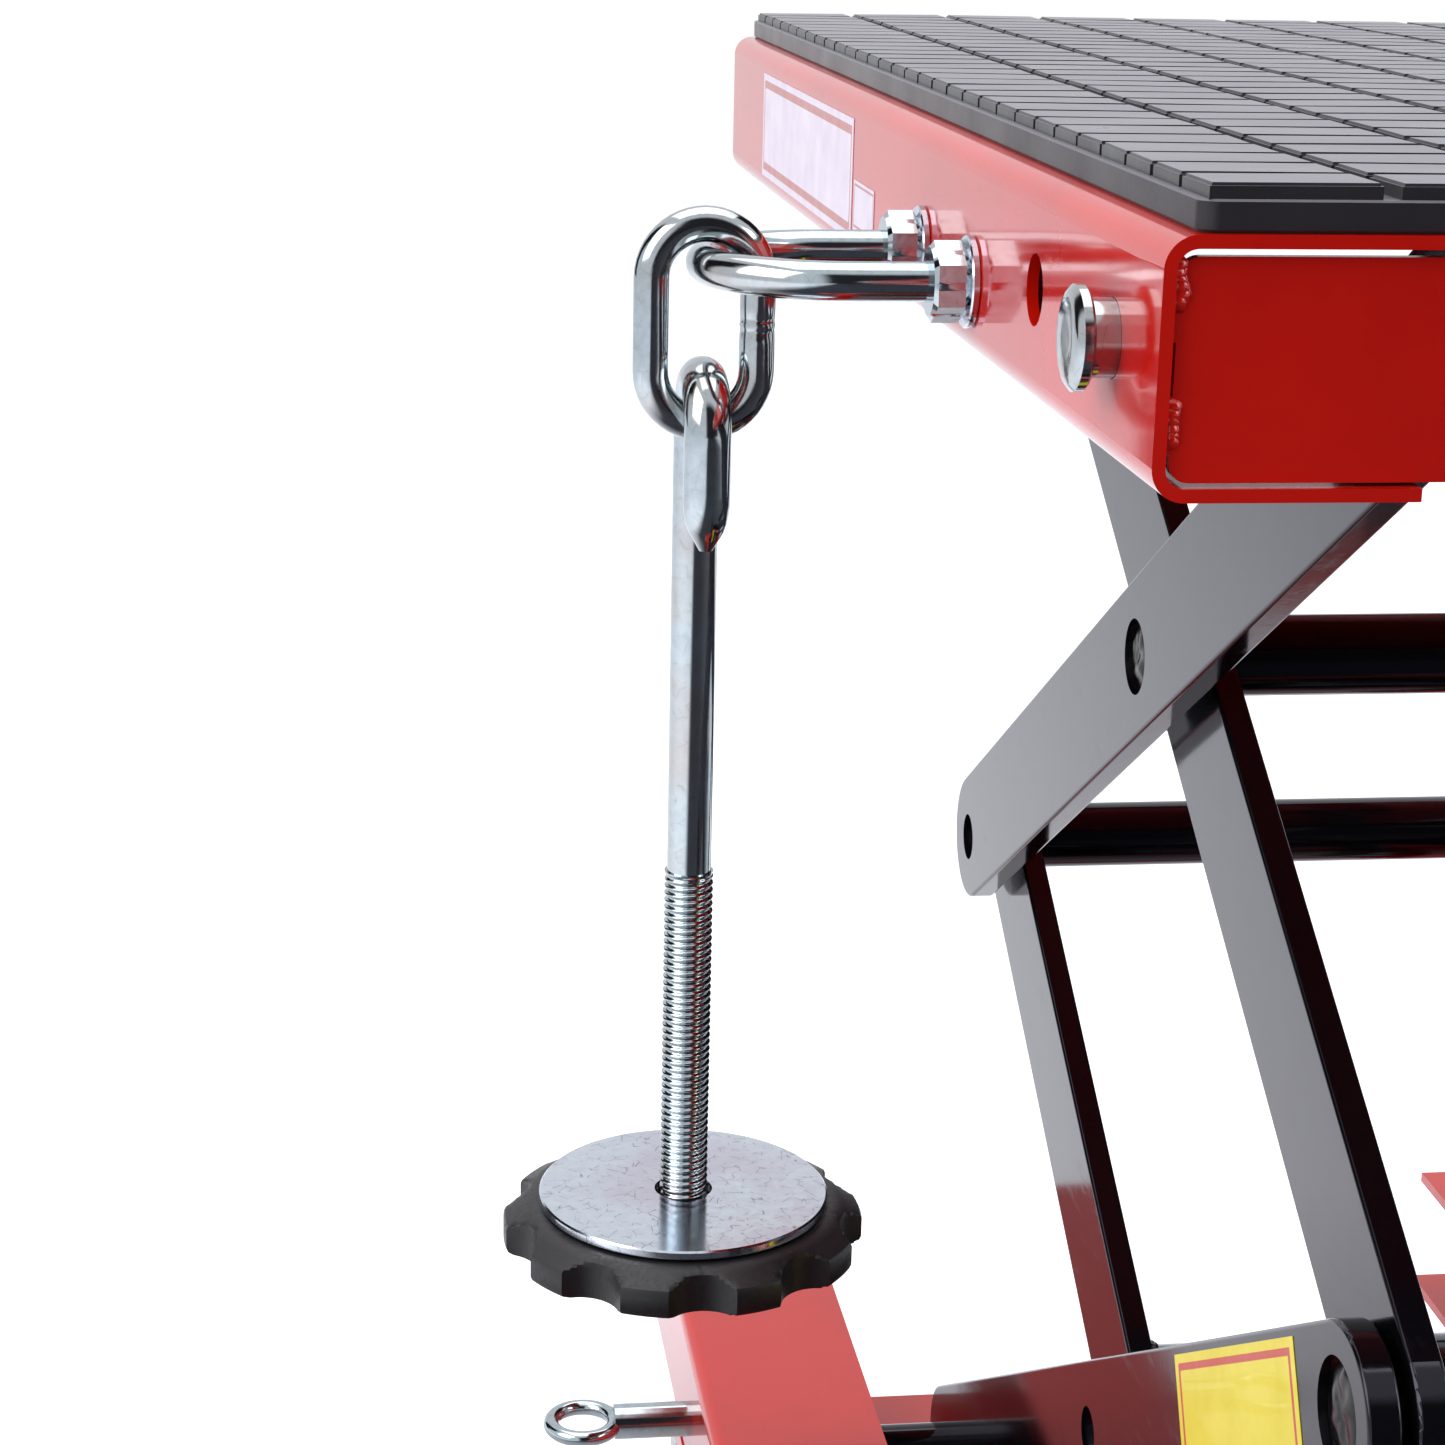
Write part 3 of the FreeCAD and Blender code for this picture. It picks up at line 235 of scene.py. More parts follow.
def pad_rubber():
    """Pressed ribbed rubber: purplish black, with a painted lilac sheen on faces that point up and
    pale lint in its pores.
    """
    material, tree, body, place = new_material("pressed_ribbed_rubber", {
        "IOR": 1.5, "Specular IOR Level": 0.35, "Sheen Weight": 0.15, "Sheen Roughness": 0.4})
    cloud = grain(tree, place, 30 * MM, detail=5)
    pores = grain(tree, place, 1.1 * MM, detail=5, rough=0.7)
    # Faces that point up are painted lighter and lilac. This is a painted sheen that stands for the
    # bright studio mirrored at a low angle; the sides keep the near-black rubber colour.
    facing = add(tree, "ShaderNodeNewGeometry").outputs["Normal"]
    level = add(tree, "ShaderNodeSeparateXYZ", {"Vector": facing}).outputs["Z"]
    painted_sheen = blend_colours(tree, remap(tree, cloud, 0.3, 0.7, 0, 1), "#5a5660", "#6e6974")
    tone = blend_colours(tree, remap(tree, level, 0.4, 0.95, 0, 1), "#242227", painted_sheen)
    tone = blend_colours(tree, remap(tree, pores, 0.7, 0.8, 0, 0.6), tone, "#9a949e")
    wire(tree, body, tone, remap(tree, cloud, 0.3, 0.7, 0.26, 0.42),
         bump(tree, pores, 0.08 * MM, 0.4, bump(tree, cloud, 0.4 * MM, 0.3)))
    return material


def coated_paper(name, colour, edge, lines):
    """Glossy self-adhesive film with a printed border and no wording."""
    material, tree, body, place = new_material(name, {"IOR": 1.46, "Coat Weight": 0.2})
    cloud = grain(tree, place, 12 * MM, detail=5)
    tone = blend_colours(tree, remap(tree, cloud, 0.35, 0.7, 0, 1), colour, edge)
    band = add(tree, "ShaderNodeAttribute", attribute_name="print_band").outputs["Fac"]
    printed = remap(tree, band, 0.45, 0.55, 0, 1)
    wire(tree, body, blend_colours(tree, printed, tone, lines),
         remap(tree, cloud, 0.3, 0.7, 0.3, 0.45),
         bump(tree, grain(tree, place, 3 * MM), 0.04 * MM, 0.4))
    return material


rubber = pad_rubber()
# White film label on the deck wall, with a thin red printed frame.
white_film = coated_paper("white_film_label", "#e0d4e2", "#d3c7d6", "#bb7876")
# Yellow film label on the arm, with a thin red printed frame.
yellow_film = coated_paper("yellow_film_label", "#ecdc22", "#e2d01a", "#c8442a")


# ---------------------------------------------------------------- mesh tools

def build(name, verts, faces, material, body, stands_for=(), crease=32):
    """Makes a piece from vertices and faces, and lets it ride on a body."""
    mesh = bpy.data.meshes.new(name)
    mesh.from_pydata([tuple(v) for v in verts], [], faces)
    shape = bmesh.new()
    shape.from_mesh(mesh)
    bmesh.ops.recalc_face_normals(shape, faces=shape.faces)
    shape.to_mesh(mesh)
    shape.free()
    return mount(name, mesh, material, body, stands_for, crease)


def mount(name, mesh, material, body, stands_for=(), crease=32):
    """Shows a mesh as a piece: shaded smooth up to the crease angle, riding on its body."""
    mesh.shade_smooth()
    mesh.set_sharp_from_angle(angle=math.radians(crease))
    if material is not None:
        mesh.materials.clear()
        mesh.materials.append(material)
    piece = bpy.data.objects.new(name, mesh)
    bpy.context.scene.collection.objects.link(piece)
    if stands_for:
        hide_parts(*stands_for)
    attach(piece, body)
    return piece


class Shape:
    """Collects the vertices and faces of a piece made of several forms."""

    def __init__(self):
        self.verts = []
        self.faces = []

    def take(self, verts, faces):
        start = len(self.verts)
        self.verts += verts
        self.faces += [[start + i for i in face] for face in faces]
        return self

    def show(self, name, material, body, slot=None, stands_for=(), crease=32):
        return build(name, self.verts, self.faces, material, body, stands_for, crease)


def ring_faces(rings, segments, closed):
    """Quads between rings of vertices, with end caps unless the rings close on themselves."""
    faces = []
    for i in range(rings if closed else rings - 1):
        low, high = i * segments, (i + 1) % rings * segments
        for k in range(segments):
            after = (k + 1) % segments
            faces.append([low + k, low + after, high + after, high + k])
    if not closed:
        last = (rings - 1) * segments
        faces.append(list(reversed(range(segments))))
        faces.append([last + k for k in range(segments)])
    return faces


def sweep(path, radii, segments=28, closed=False):
    """A round rod along a path, with one radius for each point."""
    verts, side = [], None
    for i, point in enumerate(path):
        before = path[i - 1] if closed or i else point
        after = path[(i + 1) % len(path)] if closed or i < len(path) - 1 else point
        along = (after - before).normalized()
        if side is None:
            side = along.orthogonal()
        side = (side - side.dot(along) * along).normalized()
        up = along.cross(side)
        for k in range(segments):
            angle = math.tau * k / segments
            verts.append(point + radii[i] * (math.cos(angle) * side + math.sin(angle) * up))
    return verts, ring_faces(len(path), segments, closed)


def lathe(profile, centre, axis, segments=72, closed=False, outline=None):
    """Turns (distance along the axis, radius) pairs about an axis through centre.
    outline(radius, angle, distance) may change a radius."""
    first = ALONG if abs(axis.x) > 0.5 else ACROSS
    second = axis.cross(first)
    verts = []
    for distance, radius in profile:
        for k in range(segments):
            angle = math.tau * k / segments
            reach = outline(radius, angle, distance) if outline else radius
            verts.append(centre + axis * distance
                         + reach * (math.cos(angle) * first + math.sin(angle) * second))
    return verts, ring_faces(len(profile), segments, closed)


def arc(centre, first, second, radius, start, end, steps):
    """Points on an arc in the plane of two directions, angles in degrees."""
    points = []
    for i in range(steps + 1):
        angle = math.radians(start + (end - start) * i / steps)
        points.append(centre + radius * (math.cos(angle) * first + math.sin(angle) * second))
    return points


def through_nodes(obj, tree, values):
    """The plain mesh that a geometry node tree makes of obj. obj itself is removed."""
    modifier = obj.modifiers.new("nodes", "NODES")
    modifier.node_group = tree
    for item in tree.interface.items_tree:
        if item.in_out == "INPUT" and item.name in values:
            modifier[item.identifier] = values[item.name]
    bpy.context.view_layer.update()
    evaluated = obj.evaluated_get(bpy.context.evaluated_depsgraph_get())
    mesh = bpy.data.meshes.new_from_object(evaluated)
    obj.modifiers.remove(modifier)
    bpy.data.objects.remove(obj)
    return mesh


def new_tree(name, sockets):
    """A geometry node tree with a geometry input and output, and these named inputs."""
    tree = bpy.data.node_groups.new(name, "GeometryNodeTree")
    tree.interface.new_socket("Geometry", in_out="INPUT", socket_type="NodeSocketGeometry")
    for label, kind in sockets:
        tree.interface.new_socket(label, in_out="INPUT", socket_type=f"NodeSocket{kind}")
    tree.interface.new_socket("Geometry", in_out="OUTPUT", socket_type="NodeSocketGeometry")
    return tree, add(tree, "NodeGroupInput").outputs, add(tree, "NodeGroupOutput")


def loose(name, verts, edges, faces):
    """An object that only feeds a node tree."""
    mesh = bpy.data.meshes.new(name)
    mesh.from_pydata([tuple(v) for v in verts], edges, faces)
    obj = bpy.data.objects.new(name, mesh)
    bpy.context.scene.collection.objects.link(obj)
    return obj


# ---------------------------------------------------------------- repeated forms

def block_tree():
    """Copies a block over a grid of places, each a little turned and swollen."""
    tree, given, out = new_tree("pad_block_rows", (
        ("Block", "Object"), ("Finish", "Material"), ("Seed", "Int"), ("Turn", "Float"),
        ("Swell", "Float"), ("Wave", "Float")))
    block = add(tree, "GeometryNodeObjectInfo", {"Object": given["Block"]}).outputs["Geometry"]
    spin = add(tree, "FunctionNodeRandomValue", {"Seed": given["Seed"]}, data_type="FLOAT_VECTOR")
    spin.inputs[0].default_value = (-1, -1, -1)
    turn = add(tree, "ShaderNodeVectorMath", {0: spin.outputs[0]}, operation="SCALE")
    tree.links.new(given["Turn"], turn.inputs["Scale"])
    swell = add(tree, "ShaderNodeVectorMath", {0: spin.outputs[0]}, operation="SCALE")
    tree.links.new(given["Swell"], swell.inputs["Scale"])
    size = add(tree, "ShaderNodeVectorMath", {0: swell.outputs[0], 1: (1, 1, 1)}, operation="ADD")
    copies = add(tree, "GeometryNodeInstanceOnPoints", {
        "Points": given["Geometry"], "Instance": block, "Rotation": turn.outputs[0],
        "Scale": size.outputs[0]}).outputs[0]
    solid = add(tree, "GeometryNodeRealizeInstances", {"Geometry": copies}).outputs[0]
    place = add(tree, "GeometryNodeInputPosition").outputs[0]
    cloud = add(tree, "ShaderNodeTexNoise", {"Vector": place, "Scale": 28.0, "Detail": 2.0},
                noise_dimensions="3D").outputs["Color"]
    centred = add(tree, "ShaderNodeVectorMath", {0: cloud, 1: (0.5, 0.5, 0.5)},
                  operation="SUBTRACT").outputs[0]
    shift = add(tree, "ShaderNodeVectorMath", {0: centred}, operation="SCALE")
    tree.links.new(given["Wave"], shift.inputs["Scale"])
    waved = add(tree, "GeometryNodeSetPosition", {"Geometry": solid, "Offset": shift.outputs[0]})
    done = add(tree, "GeometryNodeSetMaterial", {
        "Geometry": waved.outputs[0], "Material": given["Finish"]}).outputs[0]
    tree.links.new(done, out.inputs[0])
    return tree


def bead_tree():
    """A weld bead: overlapping drops of metal along the edges of a line."""
    tree, given, out = new_tree("weld_bead_drops", (
        ("Finish", "Material"), ("Seed", "Int"), ("Radius", "Float"), ("Spacing", "Float")))
    line = add(tree, "GeometryNodeMeshToCurve", {"Mesh": given["Geometry"]}).outputs[0]
    points = add(tree, "GeometryNodeResampleCurve", {"Curve": line}).outputs[0]
    sampler = points.node
    if hasattr(sampler, "mode"):
        sampler.mode = "LENGTH"
    tree.links.new(given["Spacing"], sampler.inputs["Length"])
    drop = add(tree, "GeometryNodeMeshIcoSphere", {"Subdivisions": 2})
    tree.links.new(given["Radius"], drop.inputs["Radius"])
    size = add(tree, "FunctionNodeRandomValue", {"Seed": given["Seed"]}, data_type="FLOAT_VECTOR")
    size.inputs[0].default_value = (0.75, 0.75, 0.7)
    size.inputs[1].default_value = (1.05, 1.05, 1.0)
    copies = add(tree, "GeometryNodeInstanceOnPoints", {
        "Points": points, "Instance": drop.outputs["Mesh"], "Scale": size.outputs[0]}).outputs[0]
    solid = add(tree, "GeometryNodeRealizeInstances", {"Geometry": copies}).outputs[0]
    place = add(tree, "GeometryNodeInputPosition").outputs[0]
    cloud = add(tree, "ShaderNodeTexNoise", {"Vector": place, "Scale": 500.0, "Detail": 2.0},
                noise_dimensions="3D").outputs["Color"]
    centred = add(tree, "ShaderNodeVectorMath", {0: cloud, 1: (0.5, 0.5, 0.5)},
                  operation="SUBTRACT").outputs[0]
    shift = add(tree, "ShaderNodeVectorMath", {0: centred}, operation="SCALE")
    tree.links.new(given["Radius"], shift.inputs["Scale"])
    rough = add(tree, "GeometryNodeSetPosition", {"Geometry": solid, "Offset": shift.outputs[0]})
    done = add(tree, "GeometryNodeSetMaterial", {
        "Geometry": rough.outputs[0], "Material": given["Finish"]}).outputs[0]
    tree.links.new(done, out.inputs[0])
    return tree


BLOCKS = block_tree()
BEADS = bead_tree()


def weld(name, lines, radius, material, body):
    """Weld beads along lines, each a list of points."""
    verts, edges = [], []
    for line in lines:
        start = len(verts)
        verts += line
        edges += [(start + i, start + i + 1) for i in range(len(line) - 1)]
    mesh = through_nodes(loose(name + "_path", verts, edges, []), BEADS, {
        "Finish": material, "Seed": SEED, "Radius": radius, "Spacing": 0.55 * radius})
    return mount(name, mesh, material, body, crease=60)


# ---------------------------------------------------------------- rubber pad

PAD_COLUMNS = 9
PAD_ROWS = 30
LONG_GROOVE = 2.6 * MM
CROSS_GROOVE = 1.5 * MM
GROOVE_DEPTH = 2.3 * MM


def pad_block(width, length, depth):
    """One raised block with softened top edges."""
    shape = bmesh.new()
    bmesh.ops.create_cube(shape, size=1)
    bmesh.ops.scale(shape, vec=(width, length, depth), verts=shape.verts)
    top = [edge for edge in shape.edges if all(v.co.z > 0 for v in edge.verts)]
    bmesh.ops.bevel(shape, geom=top, offset=0.45 * MM, segments=2, affect="EDGES")
    mesh = bpy.data.meshes.new("pad_block")
    shape.to_mesh(mesh)
    shape.free()
    block = bpy.data.objects.new("pad_block", mesh)
    bpy.context.scene.collection.objects.link(block)
    return block


def ribbed_pad():
    low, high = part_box("rubber_pad")
    wide, long = high.x - low.x, high.y - low.y
    column, row = wide / PAD_COLUMNS, long / PAD_ROWS
    sink = 0.6 * MM
    block = pad_block(column - LONG_GROOVE, row - CROSS_GROOVE, GROOVE_DEPTH + sink)
    middle = high.z - (GROOVE_DEPTH + sink) / 2 - 0.1 * MM
    places = [(low.x + (i + 0.5) * column, low.y + (j + 0.5) * row, middle)
              for i in range(PAD_COLUMNS) for j in range(PAD_ROWS)]
    top = through_nodes(loose("pad_places", places, [], []), BLOCKS, {
        "Block": block, "Finish": rubber, "Seed": SEED, "Turn": 0.004, "Swell": 0.004,
        "Wave": 0.0007})
    bpy.data.objects.remove(block)
    for vert in top.vertices:
        inset = 0.2 * MM
        vert.co.x = min(max(vert.co.x, low.x + inset), high.x - inset)
        vert.co.y = min(max(vert.co.y, low.y + inset), high.y - inset)
        vert.co.z = min(vert.co.z, high.z)
    mount("pad_blocks", top, rubber, "deck", crease=50)
    floor = high.z - GROOVE_DEPTH
    corner = 3 * MM
    outline = []
    for x, y, start in ((high.x, low.y, -90), (high.x, high.y, 0), (low.x, high.y, 90),
                        (low.x, low.y, 180)):
        hub = Vector((x - corner * (1 if x > 0 else -1),
                      y + corner * (1 if y == low.y else -1), 0))
        outline += arc(hub, ACROSS, ALONG, corner, start, start + 90, 5)
    levels = ((low.z, 0.5 * MM), (low.z + 0.5 * MM, 0), (floor - 0.3 * MM, 0), (floor, 0.3 * MM))
    verts = []
    for level, inset in levels:
        shrink = Vector((1 - inset / (wide / 2), 1 - inset / (long / 2), 0))
        mid = (low + high) / 2
        verts += [Vector((mid.x + (p.x - mid.x) * shrink.x, mid.y + (p.y - mid.y) * shrink.y,
                          level)) for p in outline]
    build("pad_sheet", verts, ring_faces(len(levels), len(outline), False), rubber, "deck",
          ("rubber_pad",))


ribbed_pad()


# ---------------------------------------------------------------- tie-down sets

def hexagon(across):
    """A hex outline: keeps a radius within a hexagon of that width across flats."""
    def outline(radius, angle, distance):
        turned = (angle + math.pi / 6) % (math.pi / 3) - math.pi / 6
        return min(radius, across / 2 / math.cos(turned))
    return outline


def hex_nut(start, axis, across, height, bore):
    """A nut with chamfered corners on both faces."""
    corner = across / 2 / math.cos(math.pi / 6)
    flat, chamfer = across / 2 * 0.96, (corner - across / 2 * 0.96) * 0.6
    profile = [(0, bore), (0, flat), (chamfer, corner), (height - chamfer, corner),
               (height, flat), (height, bore)]
    return lathe(profile, start, axis, 96, True, hexagon(across))


def ring_plate(start, axis, radius, thick, bore, edge):
    """A flat ring whose outer edges are broken by edge."""
    profile = [(0, bore), (0, radius - edge), (edge, radius), (thick - edge, radius),
               (thick, radius - edge), (thick, bore)]
    return lathe(profile, start, axis, 96, True)


def thread(centre, low, high, major, pitch, depth, segments=32, per_turn=8):
    """A screw thread about a vertical axis, tapered in at both ends."""
    steps = int((high - low) / pitch * per_turn)

    def outline(radius, angle, distance):
        phase = (distance / pitch - angle / math.tau) % 1
        ends = min(1, (distance + 1e-5) / (1.2 * pitch), (high - low - distance + 1e-5) / pitch)
        wave = 0.5 + 0.5 * math.cos(math.tau * phase)
        return radius - depth * (1 - wave) * max(ends, 0)
    profile = [((high - low) * i / steps, major) for i in range(steps + 1)]
    profile = [(0, major - 1.2 * depth)] + profile + [(high - low, major - depth)]
    return lathe(profile, Vector((centre.x, centre.y, low)), UP, segments, False, outline)


def hand_knob(word):
    """A ten-lobed hand knob: a chamfered rim with finger scallops over a hub."""
    low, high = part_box(f"{word}_knob")
    centre = Vector(((low.x + high.x) / 2, centre_of(f"{word}_hook_washer").y, high.z))
    rim, thick, chamfer = 37.4 * MM, 9 * MM, 2.6 * MM
    shoulder, seat, hub, hub_end = 32.5 * MM, 24 * MM, 14 * MM, 18 * MM
    scallop, depth, lobes = 8 * MM, 4.2 * MM, 10
    reach = rim - depth + scallop

    def outline(radius, angle, distance):
        if radius < seat - 4 * MM:
            return radius
        turned = (angle + math.pi / 2 + math.pi / lobes) % (math.tau / lobes) - math.pi / lobes
        across = reach * math.sin(turned)
        limit = rim
        if abs(across) < scallop:
            limit = reach * math.cos(turned) - math.sqrt(scallop ** 2 - across ** 2)
        return min(radius, limit)

    bore = 5.2 * MM
    profile = [(0, bore), (0, seat), (-0.1 * MM, shoulder - 2 * MM), (-0.5 * MM, shoulder)]
    profile += [(-0.5 * MM - chamfer * t, shoulder + (rim - shoulder) * t)
                for t in (0.25, 0.5, 0.75, 0.92)]
    profile += [(-chamfer - 1.1 * MM, rim), (-thick + 1.2 * MM, rim),
                (-thick + 0.3 * MM, rim - 0.4 * MM), (-thick, rim - 1.4 * MM),
                (-thick, hub + 1 * MM), (-thick - 1 * MM, hub), (1 * MM - hub_end, hub - 0.4 * MM),
                (-hub_end, hub - 1.5 * MM), (-hub_end, bore)]
    Shape().take(*lathe(profile, centre, UP, 240, True, outline)).show(
        f"{word}_hand_knob", knob_nylon, f"{word}_knob", "knob_plastic", (f"{word}_knob",), 28)


def chain_link(word):
    """A link bent from wire and closed by a butt weld halfway down one leg."""
    link_low, link_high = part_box(f"{word}_chain_link")
    wire_radius = (link_high.y - link_low.y) / 2
    middle = (link_low + link_high) / 2
    turn = (link_high.x - link_low.x) / 2 - wire_radius
    top = Vector((middle.x, middle.y, link_high.z - wire_radius - turn))
    foot = Vector((middle.x, middle.y, link_low.z + wire_radius + turn))
    path = arc(top, ACROSS, UP, turn, 0, 180, 24)
    leg = top.z - foot.z
    path += [top + Vector((-turn, 0, -leg * i / 6)) for i in range(1, 6)]
    path += arc(foot, ACROSS, UP, turn, 180, 360, 24)
    seam_at = foot + Vector((turn, 0, leg / 2))
    steps = 24
    path += [foot + Vector((turn, 0, leg * i / steps)) for i in range(1, steps)]
    radii = [wire_radius * (1 + 0.07 * math.exp(-((p - seam_at).length / (0.5 * MM)) ** 2)
                            - 0.06 * math.exp(-((p - seam_at).length / (1.6 * MM)) ** 2))
             for p in path]
    Shape().take(*sweep(path, radii, 28, True)).show(
        f"{word}_link_wire", rod_zinc, f"{word}_link", "zinc_plate", (f"{word}_chain_link",), 50)


def threaded_hook(word):
    """A J-hook with a tapered tip and a long screw thread below its plain shank."""
    low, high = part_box(f"{word}_hook")
    shank_radius, screw_radius, bend_radius = 4.5 * MM, 5 * MM, 9 * MM
    shank = Vector(((low.x + high.x) / 2, high.y - screw_radius, 0))
    bend = Vector((shank.x, shank.y - bend_radius, high.z - shank_radius - bend_radius))
    screw_top = low.z + 85 * MM
    tip = 22 * MM
    path = [Vector((shank.x, shank.y, screw_top - 1 * MM + (bend.z - screw_top) * i / 10))
            for i in range(10)]
    path += arc(bend, ALONG, UP, bend_radius, 0, 180, 28)
    path += [bend + Vector((0, -bend_radius, -tip * i / 12)) for i in range(1, 13)]
    radii = [shank_radius] * len(path)
    for i, share in enumerate((0.97, 0.9, 0.76, 0.52, 0.28)):
        radii[len(path) - 5 + i] = shank_radius * share
    Shape().take(*sweep(path, radii, 32)).take(
        *thread(shank, low.z, screw_top, screw_radius, 1.5 * MM, 0.62 * MM)).show(
        f"{word}_hook_rod", rod_zinc, f"{word}_hook", "zinc_plate", (f"{word}_hook",), 50)


def pressed_washer(word):
    """The wide washer that lies on the hand knob."""
    low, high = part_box(f"{word}_hook_washer")
    centre = Vector(((low.x + high.x) / 2, (low.y + high.y) / 2, low.z))
    disc = ring_plate(centre, UP, (high.x - low.x) / 2, high.z - low.z, 6 * MM, 0.35 * MM)
    Shape().take(*disc).show(f"{word}_pressed_washer", sheet_zinc, f"{word}_washer",
                             "zinc_plate", (f"{word}_hook_washer",))


def u_bolts():
    """Bent U-bolts through the deck's walls, with a washer and a nut on both faces."""
    low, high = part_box("u_bolts")
    radius = (high.z - low.z) / 2
    bend = (high.y - low.y) / 2 - radius
    level, middle_y = (low.z + high.z) / 2, (low.y + high.y) / 2
    inner = 115 * MM
    rods, nuts, washers = Shape(), Shape(), Shape()
    nut_across, nut_height = 13 * MM, 6.5 * MM
    washer_radius, washer_thick, washer_edge = 8.4 * MM, 1.6 * MM, 0.3 * MM
    for side in SIDES.values():
        out = ACROSS * side
        hub = Vector((side * (high.x - radius - bend), middle_y, level))
        path = [Vector((side * (inner + (abs(hub.x) - inner) * i / 12), middle_y - bend, level))
                for i in range(12)]
        path += arc(hub, -ALONG, out, bend, 0, 180, 36)
        path += [Vector((side * (abs(hub.x) - (abs(hub.x) - inner) * i / 12), middle_y + bend,
                         level)) for i in range(1, 13)]
        rods.take(*sweep(path, [radius] * len(path), 32))
        for y in (middle_y - bend, middle_y + bend):
            wall = Vector((side * HALF_DECK, y, level))
            for face, away in ((wall, out), (wall - out * DECK_GAUGE, -out)):
                washers.take(*ring_plate(face, away, washer_radius, washer_thick, radius,
                                         washer_edge))
                nuts.take(*hex_nut(face + away * washer_thick, away, nut_across, nut_height,
                                   radius))
    rods.show("bent_u_bolts", rod_zinc, "deck", "zinc_plate", ("u_bolts",), 50)
    nuts.show("u_bolt_hex_nuts", rod_zinc, "deck", "zinc_plate", ("u_bolt_nuts",), 20)
    washers.show("u_bolt_flat_washers", sheet_zinc, "deck", "zinc_plate", ("u_bolt_washers",))


for word in SIDES:
    chain_link(word)
    threaded_hook(word)
    pressed_washer(word)
    hand_knob(word)
u_bolts()


def pivot_pin():
    """The deck's pivot pin: a rod with a softly domed head and a shoulder."""
    low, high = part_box("deck_pivot_pin")
    start = Vector((low.x, NEAR_Y, HIGH_PIVOT.z))
    head, neck, thick = 8 * MM, 6 * MM, 3 * MM
    profile = [(0, 0.3 * head), (0, 0.72 * head), (0.35 * MM, 0.88 * head), (1.1 * MM, head),
               (thick - 0.6 * MM, head), (thick - 0.1 * MM, 0.93 * head), (thick, neck),
               (high.x - low.x - 0.6 * MM, neck), (high.x - low.x, 0.9 * neck)]
    clip_at = Vector((HALF_DECK + 0.4 * MM, NEAR_Y, HIGH_PIVOT.z))
    Shape().take(*lathe(profile, start, ACROSS, 64)).take(
        *ring_plate(clip_at, ACROSS, 9 * MM, 1.6 * MM, neck, 0.2 * MM)).show(
        "deck_pin_rod", rod_zinc, "deck", "zinc_plate", ("deck_pivot_pin",), 40)


pivot_pin()


# ---------------------------------------------------------------- welds

PLUG_DEPTH = 1.9 * MM
PLUG_SHARE = 0.93


def plug_weld(y, z, radius, side, lumps):
    """A lumpy plug of weld metal in a recess of the outer arm. lumps varies the ripples."""
    base = Vector((side * (OUTER_FACE - PLUG_DEPTH), y, z))
    out = ACROSS * side
    segments = 40
    dome = [(0, 0.98), (0.5, 0.86), (0.9, 0.62), (1.1, 0.36), (1.0, 0.12)]
    verts, faces = lathe([(height * MM, radius * share) for height, share in dome], base, out,
                         segments)
    for i, vert in enumerate(verts):
        ripple = noise.noise(vert * 320 + Vector((lumps, 0, 0)))
        verts[i] = vert + out * ripple * 0.8 * MM * (1 if i >= segments else 0)
        verts[i].y += noise.noise(vert * 400 + Vector((0, lumps, 0))) * 0.5 * MM
    return verts, faces


PLUGS = {
    # body: places (Y, Z, recess radius) on the outer face of its arms
    "lower_outer": [(NEAR_Y, JOINT_LEVEL, 10 * MM)],
    "upper_outer": [(UPPER_CROSS.y, UPPER_CROSS.z, 8 * MM)],
}
for body, places in PLUGS.items():
    plugs = Shape()
    for side in SIDES.values():
        for index, (y, z, radius) in enumerate(places):
            plugs.take(*plug_weld(y, z, radius * PLUG_SHARE, side, 3 * index + side))
    plugs.show(f"{body}_plug_welds", pooled_enamel, body, "black_paint", crease=60)


def ring_line(x, y, z, radius):
    """Points round a tube that runs across, for a fillet weld at its end."""
    return arc(Vector((x, y, z)), ALONG, UP, radius, 0, 360, 32)


def cross_welds(body, node, radius, y, z, name):
    """Fillet welds where a cross tube meets the inner arms."""
    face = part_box(f"right_{node}")[0].x
    lines = [ring_line(side * (face - 0.4 * MM), y, z, radius + 0.2 * MM)
             for side in SIDES.values()]
    weld(name, lines, 1.5 * MM, black_enamel, body)


TUBE = size_of("lower_torsion_tube").z / 2
SLEEVE = 8.5 * MM
cross_welds("lower_inner", "lower_inner_arm", TUBE, LOWER_CROSS.y, LOWER_CROSS.z,
            "torsion_tube_welds")
cross_welds("lower_inner", "lower_inner_arm", SLEEVE, FAR_Y, JOINT_LEVEL, "far_sleeve_welds")
cross_welds("upper_inner", "upper_inner_arm", SLEEVE, UPPER_CROSS.y, UPPER_CROSS.z,
            "centre_sleeve_welds")


def deck_welds():
    """Short tacks that hold the end plates inside the deck's rim."""
    inset, recess, long = 2.6 * MM, 2 * MM, 5 * MM
    lines = []
    for y in (DECK_LOW.y + recess, DECK_HIGH.y - recess):
        for side in SIDES.values():
            for drop in (4.5 * MM, 24.5 * MM):
                top = Vector((side * (HALF_DECK - inset), y, DECK_HIGH.z - drop))
                lines.append([top, top - UP * long])
    weld("end_plate_tacks", lines, 1.8 * MM, red_enamel, "deck")


deck_welds()


def base_welds():
    """Fillet welds where the cross bar and the flat tie plate meet the rails."""
    rail_low, rail_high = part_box("right_rail")
    far_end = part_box("base_cross_bars")[1]
    rail_gauge, bar, plate, end_gap = 3.3 * MM, 30 * MM, 30 * MM, 2 * MM
    lines = []
    for side in SIDES.values():
        foot = Vector((side * (rail_high.x - rail_gauge), rail_low.y + bar,
                       BASE_ROLLER.z - bar / 2))
        lines.append([foot, foot + UP * bar])
        for y in (far_end.y, far_end.y - plate):
            lines.append([Vector((side * (rail_low.x + end_gap), y, rail_low.z)),
                          Vector((side * (far_end.x - end_gap), y, rail_low.z))])
    weld("cross_bar_welds", lines, 2 * MM, red_enamel, "base")


base_welds()


# ---------------------------------------------------------------- labels

FILM_PROUD = 0.15 * MM


